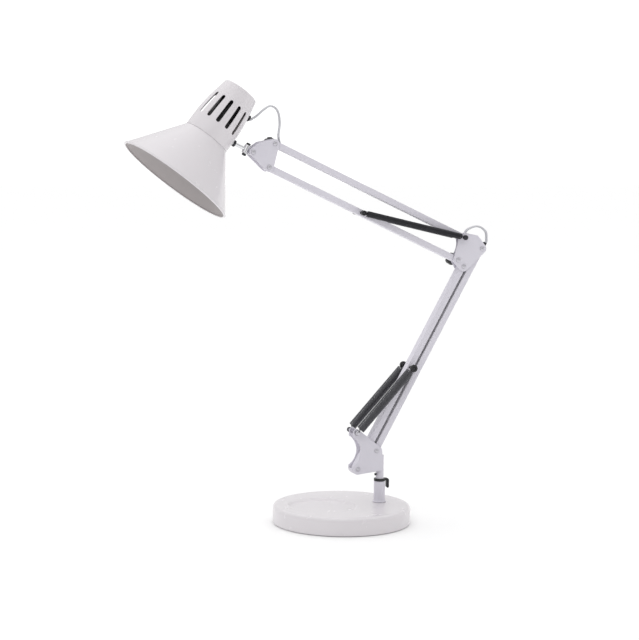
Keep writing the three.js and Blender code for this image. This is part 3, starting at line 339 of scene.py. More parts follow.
def stadium(width, height, steps=10):
    """A flat loop (across, out) with round ends: two half circles joined by straight sides."""
    r, run = height / 2, (width - height) / 2
    t = np.linspace(-math.pi / 2, math.pi / 2, steps)
    right = np.stack([run + r * np.cos(t), r * np.sin(t)], -1)
    return np.concatenate([right, -right])


def ribbon(path, section):
    """A flat section (across, out) carried along a path (x, z), at right angles to it."""
    path = np.asarray(path, float)
    tangent = np.gradient(path, axis=0)
    tangent /= np.linalg.norm(tangent, axis=1, keepdims=True)
    out = np.stack([-tangent[:, 1], tangent[:, 0]], -1)
    across = np.broadcast_to(section[None, :, 0], (len(path), len(section)))
    lift = section[None, :, 1]
    x = path[:, :1] + out[:, :1] * lift
    z = path[:, 1:] + out[:, 1:] * lift
    points = np.stack([x, across, z], -1)
    return Shell().grid(points).cap(points[0]).cap(points[-1])


def make(name, shell, body, slot, nodes, finishes=None, sharp=34):
    """The finished piece: doubles merged, normals outwards, smooth but for edges sharper than so many degrees. It
    rides on a body by name; given two bodies with a start and an end instead, it rides on no body and its place is
    baked into its points."""
    mesh = bpy.data.meshes.new(name)
    mesh.from_pydata(np.concatenate(shell.points).tolist(), [], shell.faces)
    mesh.polygons.foreach_set("material_index", np.array(shell.kinds, np.int32))
    work = bmesh.new()
    work.from_mesh(mesh)
    bmesh.ops.remove_doubles(work, verts=work.verts, dist=2e-6)
    bmesh.ops.recalc_face_normals(work, faces=work.faces)
    work.to_mesh(mesh)
    work.free()
    mesh.polygons.foreach_set("use_smooth", np.ones(len(mesh.polygons), bool))
    mesh.set_sharp_from_angle(angle=math.radians(sharp))
    for finish in finishes or [slot]:
        mesh.materials.append(finish_of(finish))
    piece = bpy.data.objects.new(name, mesh)
    bpy.context.scene.collection.objects.link(piece)
    if isinstance(body, str):
        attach(piece, body)
    else:
        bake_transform(piece)
    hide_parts(*nodes)


# ---------------------------------------------------------------- materials


class Socket:
    """A node's output. Arithmetic on it adds Math nodes."""

    def __init__(self, graph, output):
        self.graph = graph
        self.output = output

    def _with(self, operation, a, b):
        return self.graph.node("ShaderNodeMath", {"operation": operation}, {0: a, 1: b})

    def __add__(self, other):
        return self._with("ADD", self, other)

    def __radd__(self, other):
        return self._with("ADD", other, self)

    def __sub__(self, other):
        return self._with("SUBTRACT", self, other)

    def __rsub__(self, other):
        return self._with("SUBTRACT", other, self)

    def __mul__(self, other):
        return self._with("MULTIPLY", self, other)

    def __rmul__(self, other):
        return self._with("MULTIPLY", other, self)


class Graph:
    """A material's nodes, with its Principled shader at hand."""

    def __init__(self, name):
        self.material = bpy.data.materials.new(name)
        self.material.use_nodes = True
        self.nodes = self.material.node_tree.nodes
        self.links = self.material.node_tree.links
        self.shader = self.nodes["Principled BSDF"]

    def put(self, socket, value):
        if isinstance(value, Socket):
            self.links.new(value.output, socket)
        elif isinstance(value, (tuple, list)) and len(value) == 3 and socket.type == "RGBA":
            socket.default_value = (*value, 1)
        else:
            socket.default_value = value

    def node(self, kind, settings, inputs, output=0):
        node = self.nodes.new(kind)
        for key, value in settings.items():
            setattr(node, key, value)
        for key, value in inputs.items():
            self.put(node.inputs[key], value)
        return Socket(self, node.outputs[output])

    def place(self, scale=(1, 1, 1)):
        here = self.node("ShaderNodeTexCoord", {}, {}, "Object")
        return self.node("ShaderNodeMapping", {}, {"Vector": here, "Scale": scale})

    def noise(self, scale, detail=3.0, stretch=(1, 1, 1)):
        inputs = {"Vector": self.place(stretch), "Scale": scale, "Detail": detail}
        return self.node("ShaderNodeTexNoise", {}, inputs, "Fac")

    def blend(self, share, a, b):
        return self.node("ShaderNodeMix", {"data_type": "RGBA"}, {"Factor": share, 6: a, 7: b}, 2)

    def bump(self, height, strength, distance):
        inputs = {"Height": height, "Strength": strength, "Distance": distance}
        return self.node("ShaderNodeBump", {}, inputs)

    def shade(self, **sockets):
        for key, value in sockets.items():
            self.put(self.shader.inputs[key.replace("_", " ")], value)
        return self.material


def tint(rgb, share):
    return tuple(min(1.0, c * share) for c in rgb)


def paint(name, rgb, roughness, spread, grain, bump, coat=0.0):
    """Sprayed paint: a faint drift of tone and gloss over a fine orange-peel or powder grain."""
    g = Graph(name)
    drift = g.noise(9.0)
    g.shader.inputs["Coat Weight"].default_value = coat
    g.shader.inputs["Coat Roughness"].default_value = 0.12
    return g.shade(
        Base_Color=g.blend(drift, tint(rgb, 0.975), tint(rgb, 1.02)),
        Roughness=g.noise(70.0) * spread + (roughness - spread / 2),
        Normal=g.bump(g.noise(grain, 2.0), bump, 0.0002),
    )


def moulded(name, rgb, roughness, grain=2200.0, bump=0.25):
    """Moulded plastic or rubber: an etched grain, and handling that polishes it in patches."""
    g = Graph(name)
    patches = g.noise(45.0)
    return g.shade(
        Base_Color=g.blend(patches, tint(rgb, 0.8), tint(rgb, 1.25)),
        Roughness=patches * 0.22 + (roughness - 0.11),
        Normal=g.bump(g.noise(grain), bump, 0.0002),
    )


def metal(name, rgb, roughness, spread, stretch=(1, 1, 1), grain=900.0, bump=0.08):
    """Bare or plated metal: a drawn grain along one direction, with smudges in its gloss."""
    g = Graph(name)
    g.shader.inputs["Metallic"].default_value = 1.0
    drawn = g.noise(grain, 3.0, stretch)
    return g.shade(
        Base_Color=g.blend(g.noise(60.0), tint(rgb, 0.86), tint(rgb, 1.08)),
        Roughness=drawn * spread + (roughness - spread / 2),
        Normal=g.bump(drawn, bump, 0.0001),
    )


FINISHES = {}


def finish_of(slot):
    """The finish of a slot. All of them are made at the first call."""
    if not FINISHES:
        FINISHES.update(finishes(bpy.context.scene.lamp_colours))
    return FINISHES[slot]


def finishes(c):
    """Every finish by its slot name."""
    gloss, satin, black = tuple(c.gloss), tuple(c.satin), tuple(c.black)
    return {
        "gloss_white": paint("gloss_white", gloss, 0.26, 0.08, 500.0, 0.05, 0.15),
        "satin_white": paint("satin_white", satin, 0.42, 0.12, 1700.0, 0.16),
        # The channel's inside has the same powder coat as its outside; this finish darkens it to about a fifth as
        # painted shade in the recess.
        "channel_inside_painted_shade": paint("channel_inside_painted_shade", tint(satin, 0.22), 0.6, 0.1, 1500.0, 0.2),
        # Painted shade: the inside of the neck and cone, darkened from the white paint it really has.
        "shade_inside_painted_shade": paint("shade_inside_painted_shade", tuple(c.painted_shade_inside), 0.5, 0.12, 800.0, 0.08),
        "black_plastic": moulded("black_plastic", black, 0.42),
        "bakelite": moulded("bakelite", tint(black, 0.9), 0.25, 1200.0, 0.06),
        "rubber": moulded("rubber", tint(black, 1.4), 0.75, 1500.0, 0.35),
        "nylon": moulded("nylon", (0.7, 0.67, 0.6), 0.5, 1200.0, 0.1),
        "lead_grey": moulded("lead_grey", tuple(c.lead), 0.5, 1300.0, 0.12),
        "black_steel": metal("black_steel", (0.06, 0.06, 0.066), 0.36, 0.2),
        "spring_steel": metal("spring_steel", tuple(c.wire), 0.38, 0.24),
        "chrome": metal("chrome", (0.8, 0.8, 0.82), 0.1, 0.08, bump=0.01),
        "zinc_steel": metal("zinc_steel", (0.6, 0.59, 0.63), 0.42, 0.2, (1, 6, 1)),
        "brass": metal("brass", (0.62, 0.45, 0.19), 0.3, 0.16),
        "cast_iron": moulded("cast_iron", (0.1, 0.1, 0.105), 0.8, 500.0, 0.8),
    }


# ---------------------------------------------------------------- base and post


def base_surface(sizes):
    """Round base with an off-centre tray. Angle t and a run s from the tray's middle: the tray's rings are circles
    round its own centre, and further out each ring is the straight blend of the tray's rim and the base's edge."""
    low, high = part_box("base_shell")
    radius, edge, depth = high.x, sizes.edge_radius, sizes.dish_depth
    centre, wall = TRAY_CENTRE, BASE_WALL
    t = np.linspace(0, 2 * math.pi, 192, endpoint=False)
    circle = np.stack([np.cos(t), np.sin(t)], -1)
    rings, heights = [], []
    share = np.concatenate([np.linspace(0, 0.82, 12), np.linspace(0.84, 1.06, 22)])
    fall = np.clip((1.03 - share) / 0.16, 0, 1)
    for s, f in zip(share, fall):
        rings.append(circle * sizes.dish_radius * s + [centre, 0])
        heights.append(high.z - depth * f * f * (3 - 2 * f))
    rim = circle * sizes.dish_radius * share[-1] + [centre, 0]
    for s in np.linspace(0.1, 1, 10):
        rings.append((1 - s) * rim + s * circle * (radius - edge))
        heights.append(high.z)
    for a in np.linspace(0, math.pi / 2, 10)[1:]:
        rings.append(circle * (radius - edge + edge * math.sin(a)))
        heights.append(high.z - edge + edge * math.cos(a))
    for r, h in ((radius, low.z + 0.6 * MM), (radius - 0.6 * MM, low.z), (radius - wall, low.z)):
        rings.append(circle * r)
        heights.append(h)
    rings.append(circle * (radius - wall))
    heights.append(high.z - depth - wall)
    rings = np.array(rings)
    z = np.broadcast_to(np.array(heights)[:, None], rings.shape[:2])
    points = np.concatenate([rings, z[..., None]], -1)
    return Shell().grid(points).cap(points[-1])


class LAMP_OT_base(bpy.types.Operator):
    """Base shell with its tray, the post's socket and the locking collar"""

    bl_idname = "lamp.base"
    bl_label = "Base and post"

    def execute(self, context):
        sizes = context.scene.lamp_sizes
        make("base", base_surface(sizes), "base", "gloss_white", ["base_shell"])
        low, top = BASE_TOP + 0.3 * MM, SOCKET_TOP
        outer, bore, foot = 7.75 * MM, 6.95 * MM, 9.25 * MM
        t = np.linspace(0, math.pi / 2, 8)
        sweep = np.stack([foot - (foot - outer) * np.sin(t), low + 3.4 * MM - 2.4 * MM * np.cos(t)], -1)
        rim = [(outer, top - 0.3 * MM), (outer - 0.3 * MM, top), (bore, top), (bore, low + 8 * MM), (0, low + 8 * MM)]
        post = (POST_X, 0)
        shell = turned(np.concatenate([[(0, low), (foot, low)], sweep, rim])).placed(post)
        make("post", shell, "base", "satin_white", ["socket_tube"])
        self.collar(post)
        self.spigot(post)
        return {"FINISHED"}

    def collar(self, post):
        """A ring with rounded edges, and a flat finger lever carried along an L-shaped path beside the post."""
        low, high = COLLAR_LOW, COLLAR_TOP
        ring = [(5.75 * MM, low), (7.95 * MM, low), (7.95 * MM, high), (5.75 * MM, high)]
        shell = turned(rounded(ring, 0.4 * MM, closed=True), closed=True)
        reach, half = 13.3 * MM, 1.7 * MM
        path = [(7 * MM, high - half), (reach - half, high - half), (reach - half, high - 12.4 * MM)]
        lever = ribbon(rounded(path, 1.8 * MM, 6), stadium(8 * MM, 2 * half, 8))
        shell.join(lever).placed(post)
        make("locking_collar", shell, "collar", "black_plastic", ["clamp_collar"])

    def spigot(self, post):
        low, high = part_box("swivel_spigot")
        r = 5.45 * MM
        profile = rounded([(0, low.z), (r, low.z), (r, high.z - 1 * MM), (0, high.z - 1 * MM)], 0.8 * MM)
        shell = turned(profile).placed(post)
        make("spigot", shell, "swivel", "satin_white", ["swivel_spigot"])


# ---------------------------------------------------------------- rivets, pins and plates


def rivet_shell(side):
    """A shank with a domed head at each end. The dome is a flattened quarter circle."""
    t = np.linspace(0, math.pi / 2, 10)
    dome = np.stack([RIVET_HEAD * np.cos(t), side + RIVET_HEIGHT * np.sin(t)], -1)
    far = np.concatenate([[(PIN_RADIUS, side), (RIVET_HEAD - 0.2 * MM, side)], dome])
    near = far[::-1] * [1, -1]
    return turned_across(np.concatenate([near, far]), 40)


def plates(name, near, far, sizes):
    """The near and the far plate of a joint, each one flat sheet with rolled edges."""
    inside, sheet, slot = sizes.plate_side, sizes.sheet, "satin_white"
    for side, outline, y0 in (("near", near, -inside - sheet), ("far", far, inside)):
        shell = sheet_slab(outline, y0, y0 + sheet, SHEET_EDGE)
        node = f"{name}_plate_{side}"
        make(f"{name}_side_{side}", shell, name, slot, [node])


def put_rivet(node, at, body, sizes):
    side = sizes.plate_side + sizes.sheet + RIVET_GAP
    shell = rivet_shell(side).placed(at)
    make(node.replace("rivet", "pivot_rivet"), shell, body, "zinc_steel", [node])


def knob_shell(sizes):
    """A round knob whose radius dips in six finger flutes, r(t) = R - d max(0, cos 6t)^2, shallower inwards."""
    radius, low, high = sizes.knob_radius, KNOB_LOW, KNOB_HIGH
    profile = rounded([(0, low), (radius * 0.72, low), (radius, low + 2 * MM), (radius, high), (0, high)], 1.6 * MM, 6)
    t = np.linspace(0, 2 * math.pi, 144, endpoint=False)
    r, h = profile[:, :1], profile[:, 1:]
    flute = np.maximum(0, np.cos(FLUTES * t)) ** 2 * FLUTE_DEPTH
    reach = np.clip((r / radius - 0.6) / 0.4, 0, 1)
    around_axis = r - flute[None] * reach
    points = np.stack([around_axis * np.cos(t), h + 0 * t, around_axis * np.sin(t)], -1)
    return Shell().grid(points)


def bolt_shell(sizes):
    """A domed head on the near side and a plain shank that ends inside the knob."""
    side = sizes.plate_side + sizes.sheet + RIVET_GAP
    t = np.linspace(0, math.pi / 2, 10)
    dome = np.stack([RIVET_HEAD * np.cos(t), -side - RIVET_HEIGHT * np.sin(t)], -1)[::-1]
    end = side + 5 * MM
    shank = [(RIVET_HEAD - 0.2 * MM, -side), (PIN_RADIUS, -side), (PIN_RADIUS, end), (0, end)]
    return turned_across(np.concatenate([dome, shank]), 40)


def put_knob(name, at, sizes):
    """A tension bolt through a joint's plates, and the knob that turns on its far end."""
    bolt, knob = bolt_shell(sizes).placed(at), knob_shell(sizes).placed(at)
    make(f"{name}_knob_bolt", bolt, name, "zinc_steel", [f"{name}_bolt"])
    make(f"{name}_tension_knob", knob, f"{name}_knob", "black_plastic", [f"{name}_knob"])


def bracket_cheek(y0, y1):
    """One cheek: the outline round five discs, with the front hollowed by a circle in front of the pivots."""
    right = POST_X + 0.6 * MM
    front, rear = FOOT_FRONT, FOOT_REAR
    edge = 7.6 * MM
    discs = [
        (HORN[0] + 1 * MM, HORN[1], 4.6 * MM),
        (front[0], front[1], edge),
        (right - 3 * MM, SOCKET_TOP + 18.5 * MM, 3 * MM),
        (right - 4 * MM, rear[1] - 12 * MM, 4 * MM),
        (rear[0] + 1 * MM, rear[1] - 1 * MM, edge),
    ]
    outline = around(discs, 20)
    hollow = rear + np.array([-47.5, 0]) * MM
    return sheet_slab(pushed_out(outline, hollow, HOLLOW_RADIUS), y0, y1, SHEET_EDGE)


def round_pivots(corners):
    """The outline round pivots, each with its edge distance in millimetres."""
    return around([(p[0], p[1], r * MM) for p, r in corners])


def pushed_out(outline, centre, radius):
    """An outline hollowed by a circle: each point nearer the centre than the radius moves straight out to it."""
    away = smooth_loop(outline, 420) - centre
    distance = np.linalg.norm(away, axis=1, keepdims=True)
    return centre + away / distance * np.maximum(distance, radius)


def smooth_loop(loop, count):
    """The same closed outline with its points evenly spaced along it."""
    closed = np.concatenate([loop, loop[:1]])
    run = np.concatenate([[0], np.cumsum(np.linalg.norm(np.diff(closed, axis=0), axis=1))])
    keep = np.concatenate([[True], np.diff(run) > 1e-9])
    at = np.linspace(0, run[-1], count, endpoint=False)
    return np.stack([np.interp(at, run[keep], closed[keep, k]) for k in (0, 1)], -1)


class LAMP_OT_bracket(bpy.types.Operator):
    """Folded bracket on the post, with its studs and pivots"""

    bl_idname = "lamp.bracket"
    bl_label = "Bracket"

    def execute(self, context):
        sizes = context.scene.lamp_sizes
        inside, sheet = sizes.plate_side, sizes.sheet
        shell = bracket_cheek(-inside - sheet, -inside).join(bracket_cheek(inside, inside + sheet))
        make("bracket", shell.join(self.web(inside)), "swivel", "satin_white", ["base_bracket"])
        put_rivet("rear_pivot_rivet", FOOT_REAR, "swivel", sizes)
        put_rivet("front_pivot_rivet", FOOT_FRONT, "swivel", sizes)
        for side, sign in (("near", -1), ("far", 1)):
            t = np.linspace(0, math.pi / 2, 8)
            head = np.stack([3.4 * MM * np.cos(t), 17.2 * MM + 1.6 * MM * np.sin(t)], -1)
            stud = [(0, 6.5 * MM), (3 * MM, 6.5 * MM), (3 * MM, 7.2 * MM), (2 * MM, 7.2 * MM), (2 * MM, 17.2 * MM)]
            shell = turned_across(np.concatenate([stud, head]), 40)
            shell.moved(lambda p, k=sign: p * [1, k, 1]).placed(HORN)
            make(f"stud_{side}", shell, "swivel", "zinc_steel", [f"horn_stud_{side}"])
        return {"FINISHED"}

    def web(self, inside):
        """The folded strip under the front pivot: an arc round the pivot that runs straight on to the post."""
        radius = 6.85 * MM
        turn = np.radians(np.linspace(177, 262, 24))
        arc = FOOT_FRONT + radius * np.stack([np.cos(turn), np.sin(turn)], -1)
        end = np.array([POST_X - 6.1 * MM, SOCKET_TOP + 16.4 * MM])
        return ribbon(np.concatenate([arc, [end]]), stadium(2 * inside + 0.4 * MM, 1.5 * MM, 4))


# ---------------------------------------------------------------- arms


def channel(run, sizes):
    """An open channel along +X. Its U section has rounded outer bends, and its height shrinks as the square root
    of a circle over each rounded end."""
    half, flange, wall = sizes.bar_depth / 2, sizes.bar_width / 2, sizes.bar_wall
    over, bend = BAR_OVERHANG, 1.3 * MM
    outer = rounded([(-flange, -half), (-flange, half), (flange, half), (flange, -half)], bend, 6)
    inner = np.array([(flange - wall, -half), (flange - wall, half - wall)])
    inner = np.concatenate([inner, inner[::-1] * [-1, 1]])
    section = np.concatenate([outer, inner])
    bow = np.linspace(0, 0.985, 10)
    x = np.concatenate([-over + half - half * bow[::-1], np.linspace(0, run, 40), run + over - half + half * bow])
    height = np.concatenate([np.sqrt(1 - bow[::-1] ** 2), np.ones(40), np.sqrt(1 - bow**2)])
    y = np.broadcast_to(section[None, :, 0], (len(x), len(section)))
    z = section[None, :, 1] * height[:, None]
    points = np.stack([x[:, None] + 0 * y, y, z], -1)
    shell = Shell().grid(points, wrap_columns=False)
    # Faces inside the channel take the second finish, the painted shade.
    shell.kinds = [int(i % (len(section) - 1) >= len(outer)) for i in range(len(shell.kinds))]
    return shell.grid(points[:, [-1, 0]], wrap_columns=False).cap(points[0]).cap(points[-1])


def spring_shell(run, radius, wire):
    """A close-wound wire: the point at angle a sits at radius R cos a, R sin a about the X axis, and the wire's own
    circle stands on the radial and the sideways direction there. R falls to nothing over the last half turn."""
    gap = HOOK_GAP
    coil = run - 2 * gap
    turns = round(coil / (wire * 1.13))
    count = turns * 22
    u = np.linspace(0, 1, count)
    a = 2 * math.pi * turns * u
    edge = 0.6 / turns
    ease = np.clip(np.minimum(u, 1 - u) / edge, 0, 1)
    r = (radius - wire / 2) * (0.12 + 0.88 * ease * ease * (3 - 2 * ease))
    radial = np.stack([0 * a, np.cos(a), np.sin(a)], -1)
    centre = radial * r[:, None]
    centre[:, 0] = gap + coil * u
    p = np.linspace(0, 2 * math.pi, 8, endpoint=False)
    along = np.array([1.0, 0, 0])
    ring = np.cos(p)[None, :, None] * radial[:, None] + np.sin(p)[None, :, None] * along[None, None]
    points = centre[:, None] + ring * wire / 2
    shell = Shell().grid(points).cap(points[0]).cap(points[-1])
    for end in (0, 1):
        shell.join(hook(wire, gap).moved(lambda q, e=end: q * [1 - 2 * e, 1, 1] + [run * e, 0, 0]))
    return shell


def hook(wire, gap):
    """The eye round a pin, as a ring of wire, and the straight stem that joins it to the coil."""
    eye = 2.3 * MM + wire / 2
    t = np.linspace(0, 2 * math.pi, 40, endpoint=False)
    p = np.linspace(0, 2 * math.pi, 10, endpoint=False)
    out = eye + wire / 2 * np.cos(p)[None]
    y = wire / 2 * np.sin(p)[None] + 0 * t[:, None]
    ring = np.stack([out * np.cos(t)[:, None], y, out * np.sin(t)[:, None]], -1)
    stem = [(0, eye), (wire / 2, eye), (wire / 2, gap + wire), (0, gap + wire)]
    return Shell().grid(ring, wrap_rows=True).join(turned_along(stem, 12))


def springs(name, pin, anchor, side, radius, wire, cap, slot, bodies):
    """A pair of springs from a bar's cross pin to its anchor, with the pin and its two round caps."""
    reach = anchor - pin
    run, degrees = float(np.linalg.norm(reach)), angle_of(reach)
    fixed, moving = bodies
    start, end = (anchor[0], 0, anchor[1]), (pin[0], 0, pin[1])
    face = side + 1.1 * MM
    for where, sign in (("near", -1), ("far", 1)):
        shell = spring_shell(run, radius, wire).placed(pin, degrees, side * sign)
        blend = (fixed, moving, start, end)
        make(f"{name}_coil_{where}", shell, blend, slot, [f"{name}_spring_{where}"], sharp=60)
        profile = [(2.2 * MM, face), (cap, face), (cap, face + 4.4 * MM), (2.2 * MM, face + 4.4 * MM)]
        shell = turned_across(rounded(profile, 1.1 * MM, 5, True), 64, True)
        shell.moved(lambda p, k=sign: p * [1, k, 1]).placed(pin)
        node = f"{name}_spring_cap_{where}"
        make(f"{name}_cap_{where}", shell, moving, "black_plastic", [node])
    tip = face + 3.6 * MM
    profile = rounded([(0, -tip), (PIN_RADIUS, -tip), (PIN_RADIUS, tip), (0, tip)], 0.5 * MM)
    shell = turned_across(profile, 40).placed(pin)
    make(f"{name}_cross_pin", shell, moving, "black_steel", [f"{name}_spring_pin"])


def channels(arm, run, along_way, feet, sizes):
    """An arm's two channels. Each rides on the body that has the arm's and its own name."""
    for name, foot in feet:
        shell = channel(run, sizes).placed(foot, angle_of(along_way))
        # The second finish is painted shade on the channel's inside.
        skins = ["satin_white", "channel_inside_painted_shade"]
        make(f"{arm}_{name}_channel", shell, f"{arm}_{name}", "satin_white", [f"{arm}_{name}_bar"], skins)


class LAMP_OT_lower_arm(bpy.types.Operator):
    """Lower arm: two channels, their springs and the springs' pin"""

    bl_idname = "lamp.lower_arm"
    bl_label = "Lower arm"

    def execute(self, context):
        sizes = context.scene.lamp_sizes
        channels("lower", LOWER_LENGTH, LOWER_WAY, (("rear", FOOT_REAR), ("front", FOOT_FRONT)), sizes)
        side, cap = 15.7 * MM, 5.2 * MM
        pair = ("swivel", "lower_front")
        springs("lower", LOWER_PIN, HORN, side, 6 * MM, sizes.lower_wire, cap, "spring_steel", pair)
        return {"FINISHED"}


class LAMP_OT_upper_arm(bpy.types.Operator):
    """Upper arm: two channels, their springs and the springs' pin"""

    bl_idname = "lamp.upper_arm"
    bl_label = "Upper arm"

    def execute(self, context):
        sizes = context.scene.lamp_sizes
        channels("upper", UPPER_LENGTH, UPPER_WAY, (("top", ELBOW_UPPER), ("bottom", ELBOW_LOWER)), sizes)
        side, cap = 14.0 * MM, 3.6 * MM
        pair = ("elbow", "upper_bottom")
        springs("upper", UPPER_PIN, ELBOW_UPPER, side, 4.3 * MM, sizes.upper_wire, cap, "black_steel", pair)
        return {"FINISHED"}


class LAMP_OT_elbow(bpy.types.Operator):
    """Elbow plates with their pivots and tension knob"""

    bl_idname = "lamp.elbow"
    bl_label = "Elbow"

    def execute(self, context):
        sizes = context.scene.lamp_sizes
        crown = ELBOW_UPPER + np.array([17.5, -4.5]) * MM
        behind = [(ELBOW_FRONT, 7.2), (ELBOW_REAR, 6.6), (crown, 7.5)]
        near = round_pivots([(ELBOW_UPPER, 6.6), (ELBOW_LOWER, 7), *behind])
        far = round_pivots([(ELBOW_UPPER, 4.2), (ELBOW_LOWER, 4.2), *behind])
        link = ELBOW_UPPER - ELBOW_LOWER
        forwards = np.array([-link[1], link[0]]) / np.linalg.norm(link)
        hollow = (ELBOW_UPPER + ELBOW_LOWER) / 2 + forwards * 24.5 * MM
        plates("elbow", near, pushed_out(far, hollow, HOLLOW_RADIUS), sizes)
        put_rivet("elbow_rear_rivet", ELBOW_REAR, "elbow", sizes)
        put_rivet("elbow_front_rivet", ELBOW_FRONT, "elbow", sizes)
        put_knob("elbow", ELBOW_LOWER, sizes)
        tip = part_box("elbow_spring_pin")[1].y
        profile = [(0, -tip), (3.3 * MM, -tip), (3.3 * MM, -tip + 1.2 * MM), (2 * MM, -tip + 1.2 * MM)]
        profile += [(r, -y) for r, y in profile[::-1]]
        shell = turned_across(rounded(profile, 0.35 * MM), 40).placed(ELBOW_UPPER)
        make("elbow_cross_pin", shell, "elbow", "black_steel", ["elbow_spring_pin"])
        return {"FINISHED"}


# ---------------------------------------------------------------- head


class LAMP_OT_head(bpy.types.Operator):
    """Head plates, tension knob, swivel block, rod and nut"""

    bl_idname = "lamp.head"
    bl_label = "Head joint"

    def execute(self, context):
        sizes = context.scene.lamp_sizes
        brow = HEAD_NOSE + np.array([11.5, 7.4]) * MM
        outline = round_pivots([(HEAD_UPPER, 6), (brow, 6.2), (HEAD_NOSE, 5.4), (HEAD_LOWER, 6.2)])
        plates("head", outline, outline, sizes)
        put_rivet("head_lower_rivet", HEAD_LOWER, "head", sizes)
        put_rivet("head_nose_rivet", HEAD_NOSE, "head", sizes)
        put_knob("head", HEAD_UPPER, sizes)
        self.block()
        self.rod()
        return {"FINISHED"}

    def block(self):
        """A flat tongue on the nose pivot that carries an upright barrel, and a clamp screw at each of its ends."""
        degrees = angle_of(ROD_WAY)
        reach = float(np.linalg.norm(BARREL - HEAD_NOSE))
        tongue = sheet_slab(around([(0, 0, 4.6 * MM), (reach, 0, 4.1 * MM)]), -3 * MM, 3 * MM, 0.5 * MM)
        half = 6 * MM
        barrel = turned(rounded([(0, -half), (4.6 * MM, -half), (4.6 * MM, half), (0, half)], 0.9 * MM, 5), 64)
        shell = tongue.join(barrel.moved(lambda p: p + [reach, 0, 0])).placed(HEAD_NOSE, degrees)
        make("swivel_barrel", shell, "block", "chrome", ["swivel_block"])
        for name, sign in (("lower", 1), ("upper", -1)):
            face = half + 0.3 * MM
            foot, shank = face - 3 * MM, 1.5 * MM
            screw = rounded([(0, foot), (shank, foot), (shank, face), (3 * MM, face)], 0.2 * MM)
            crown = rounded([(3 * MM, face), (3 * MM, face + 2.6 * MM), (0, face + 2.6 * MM)], 1 * MM, 6)
            shell = turned(np.concatenate([screw, crown[1:]]), 48)
            shell.moved(lambda p, k=sign: p * [1, 1, k] + [reach, 0, 0]).placed(HEAD_NOSE, degrees)
            node = f"block_screw_{name}"
            make(f"clamp_screw_{name}", shell, "block", "black_plastic", [node])

    def rod(self):
        degrees = angle_of(ROD_WAY)
        r = ROD_RADIUS
        profile = rounded([(0, -r), (r, -r), (r, ROD_LENGTH), (0, ROD_LENGTH)], 0.5 * MM)
        shell = turned_along(profile, 64).placed(BARREL, degrees)
        make("swivel_rod", shell, "shade", "chrome", ["shade_rod"])
        low, high = 17 * MM, 20 * MM
        ring = rounded([(3.1 * MM, low), (4.6 * MM, low), (4.6 * MM, high), (3.1 * MM, high)], 0.4 * MM, 4, True)
        shell = turned_along(ring, 64, True).placed(BARREL, degrees)
        make("neck_nut", shell, "shade", "black_steel", ["rod_nut"])


# ---------------------------------------------------------------- shade


def seam_centre(sizes):
    """The middle of the seam between neck and cone, counted back from where the rod enters the neck's wall."""
    tilt = math.degrees(sizes.shade_tilt)
    entry = BARREL + ROD_WAY * 21 * MM
    return entry - way(90 - tilt) * 17.3 * MM - way(-tilt) * sizes.neck_radius


def neck_at(height, sizes):
    """Radius of the neck: straight at first, then drawn in by a power curve, r = R - (R - T) s^1.5."""
    run = 55 * MM
    s = np.clip((height - (sizes.neck_length - run)) / run, 0, 1)
    return sizes.neck_radius - (sizes.neck_radius - sizes.neck_top) * s**1.5


def on_neck(angle, height, inset, sizes):
    """The point of the neck at an angle and a height, sunk by an inset along the radius."""
    r = neck_at(height, sizes) - inset
    return np.stack([r * np.cos(angle), r * np.sin(angle), height + 0 * angle], -1)


def slot_panel(middle_angle, half_angle, low, high, sizes):
    """A panel of the neck with one slot in it. A point on the slot's edge, a half circle at each end and straight
    flanks, is blended to the matching point on the panel's edge, on the inside and back again on the outside."""
    across, up = 10, 16
    r = sizes.neck_radius - 1.5 * MM
    half_width = sizes.slot_width / 2 / r
    half_run = (sizes.slot_length - sizes.slot_width) / 2
    t = np.linspace(-1, 1, across + 1)[:-1]
    v = np.linspace(-1, 1, up + 1)[:-1]
    bow = np.cos(t * math.pi / 2) * sizes.slot_width / 2
    lean = np.sin(t * math.pi / 2)
    edge_angle = np.concatenate([lean * half_width, 0 * v + half_width, -lean * half_width, 0 * v - half_width])
    edge_height = np.concatenate([-half_run - bow, v * half_run, half_run + bow, -v * half_run]) + SLOT_CENTRE
    middle_height, half_height = (low + high) / 2, (high - low) / 2
    rim_angle = np.concatenate([t, 0 * v + 1, -t, 0 * v - 1]) * half_angle
    rim_height = np.concatenate([0 * t - 1, v, 0 * t + 1, -v]) * half_height + middle_height
    out = np.array([0, 0.06, 0.2, 0.45, 0.72, 1.0])
    share = np.concatenate([out[::-1], out])[:, None]
    inset = np.concatenate([0 * out + sizes.shade_wall, 0 * out])[:, None]
    angle = (1 - share) * edge_angle + share * rim_angle + middle_angle
    height = (1 - share) * edge_height + share * rim_height
    points = on_neck(angle, height, inset, sizes)
    # The slot's inside rows take the second finish, the painted shade.
    shell = Shell().grid(points[: len(out)], kind=1).grid(points[len(out) - 1 : len(out) + 1])
    return shell.grid(points[len(out) :])


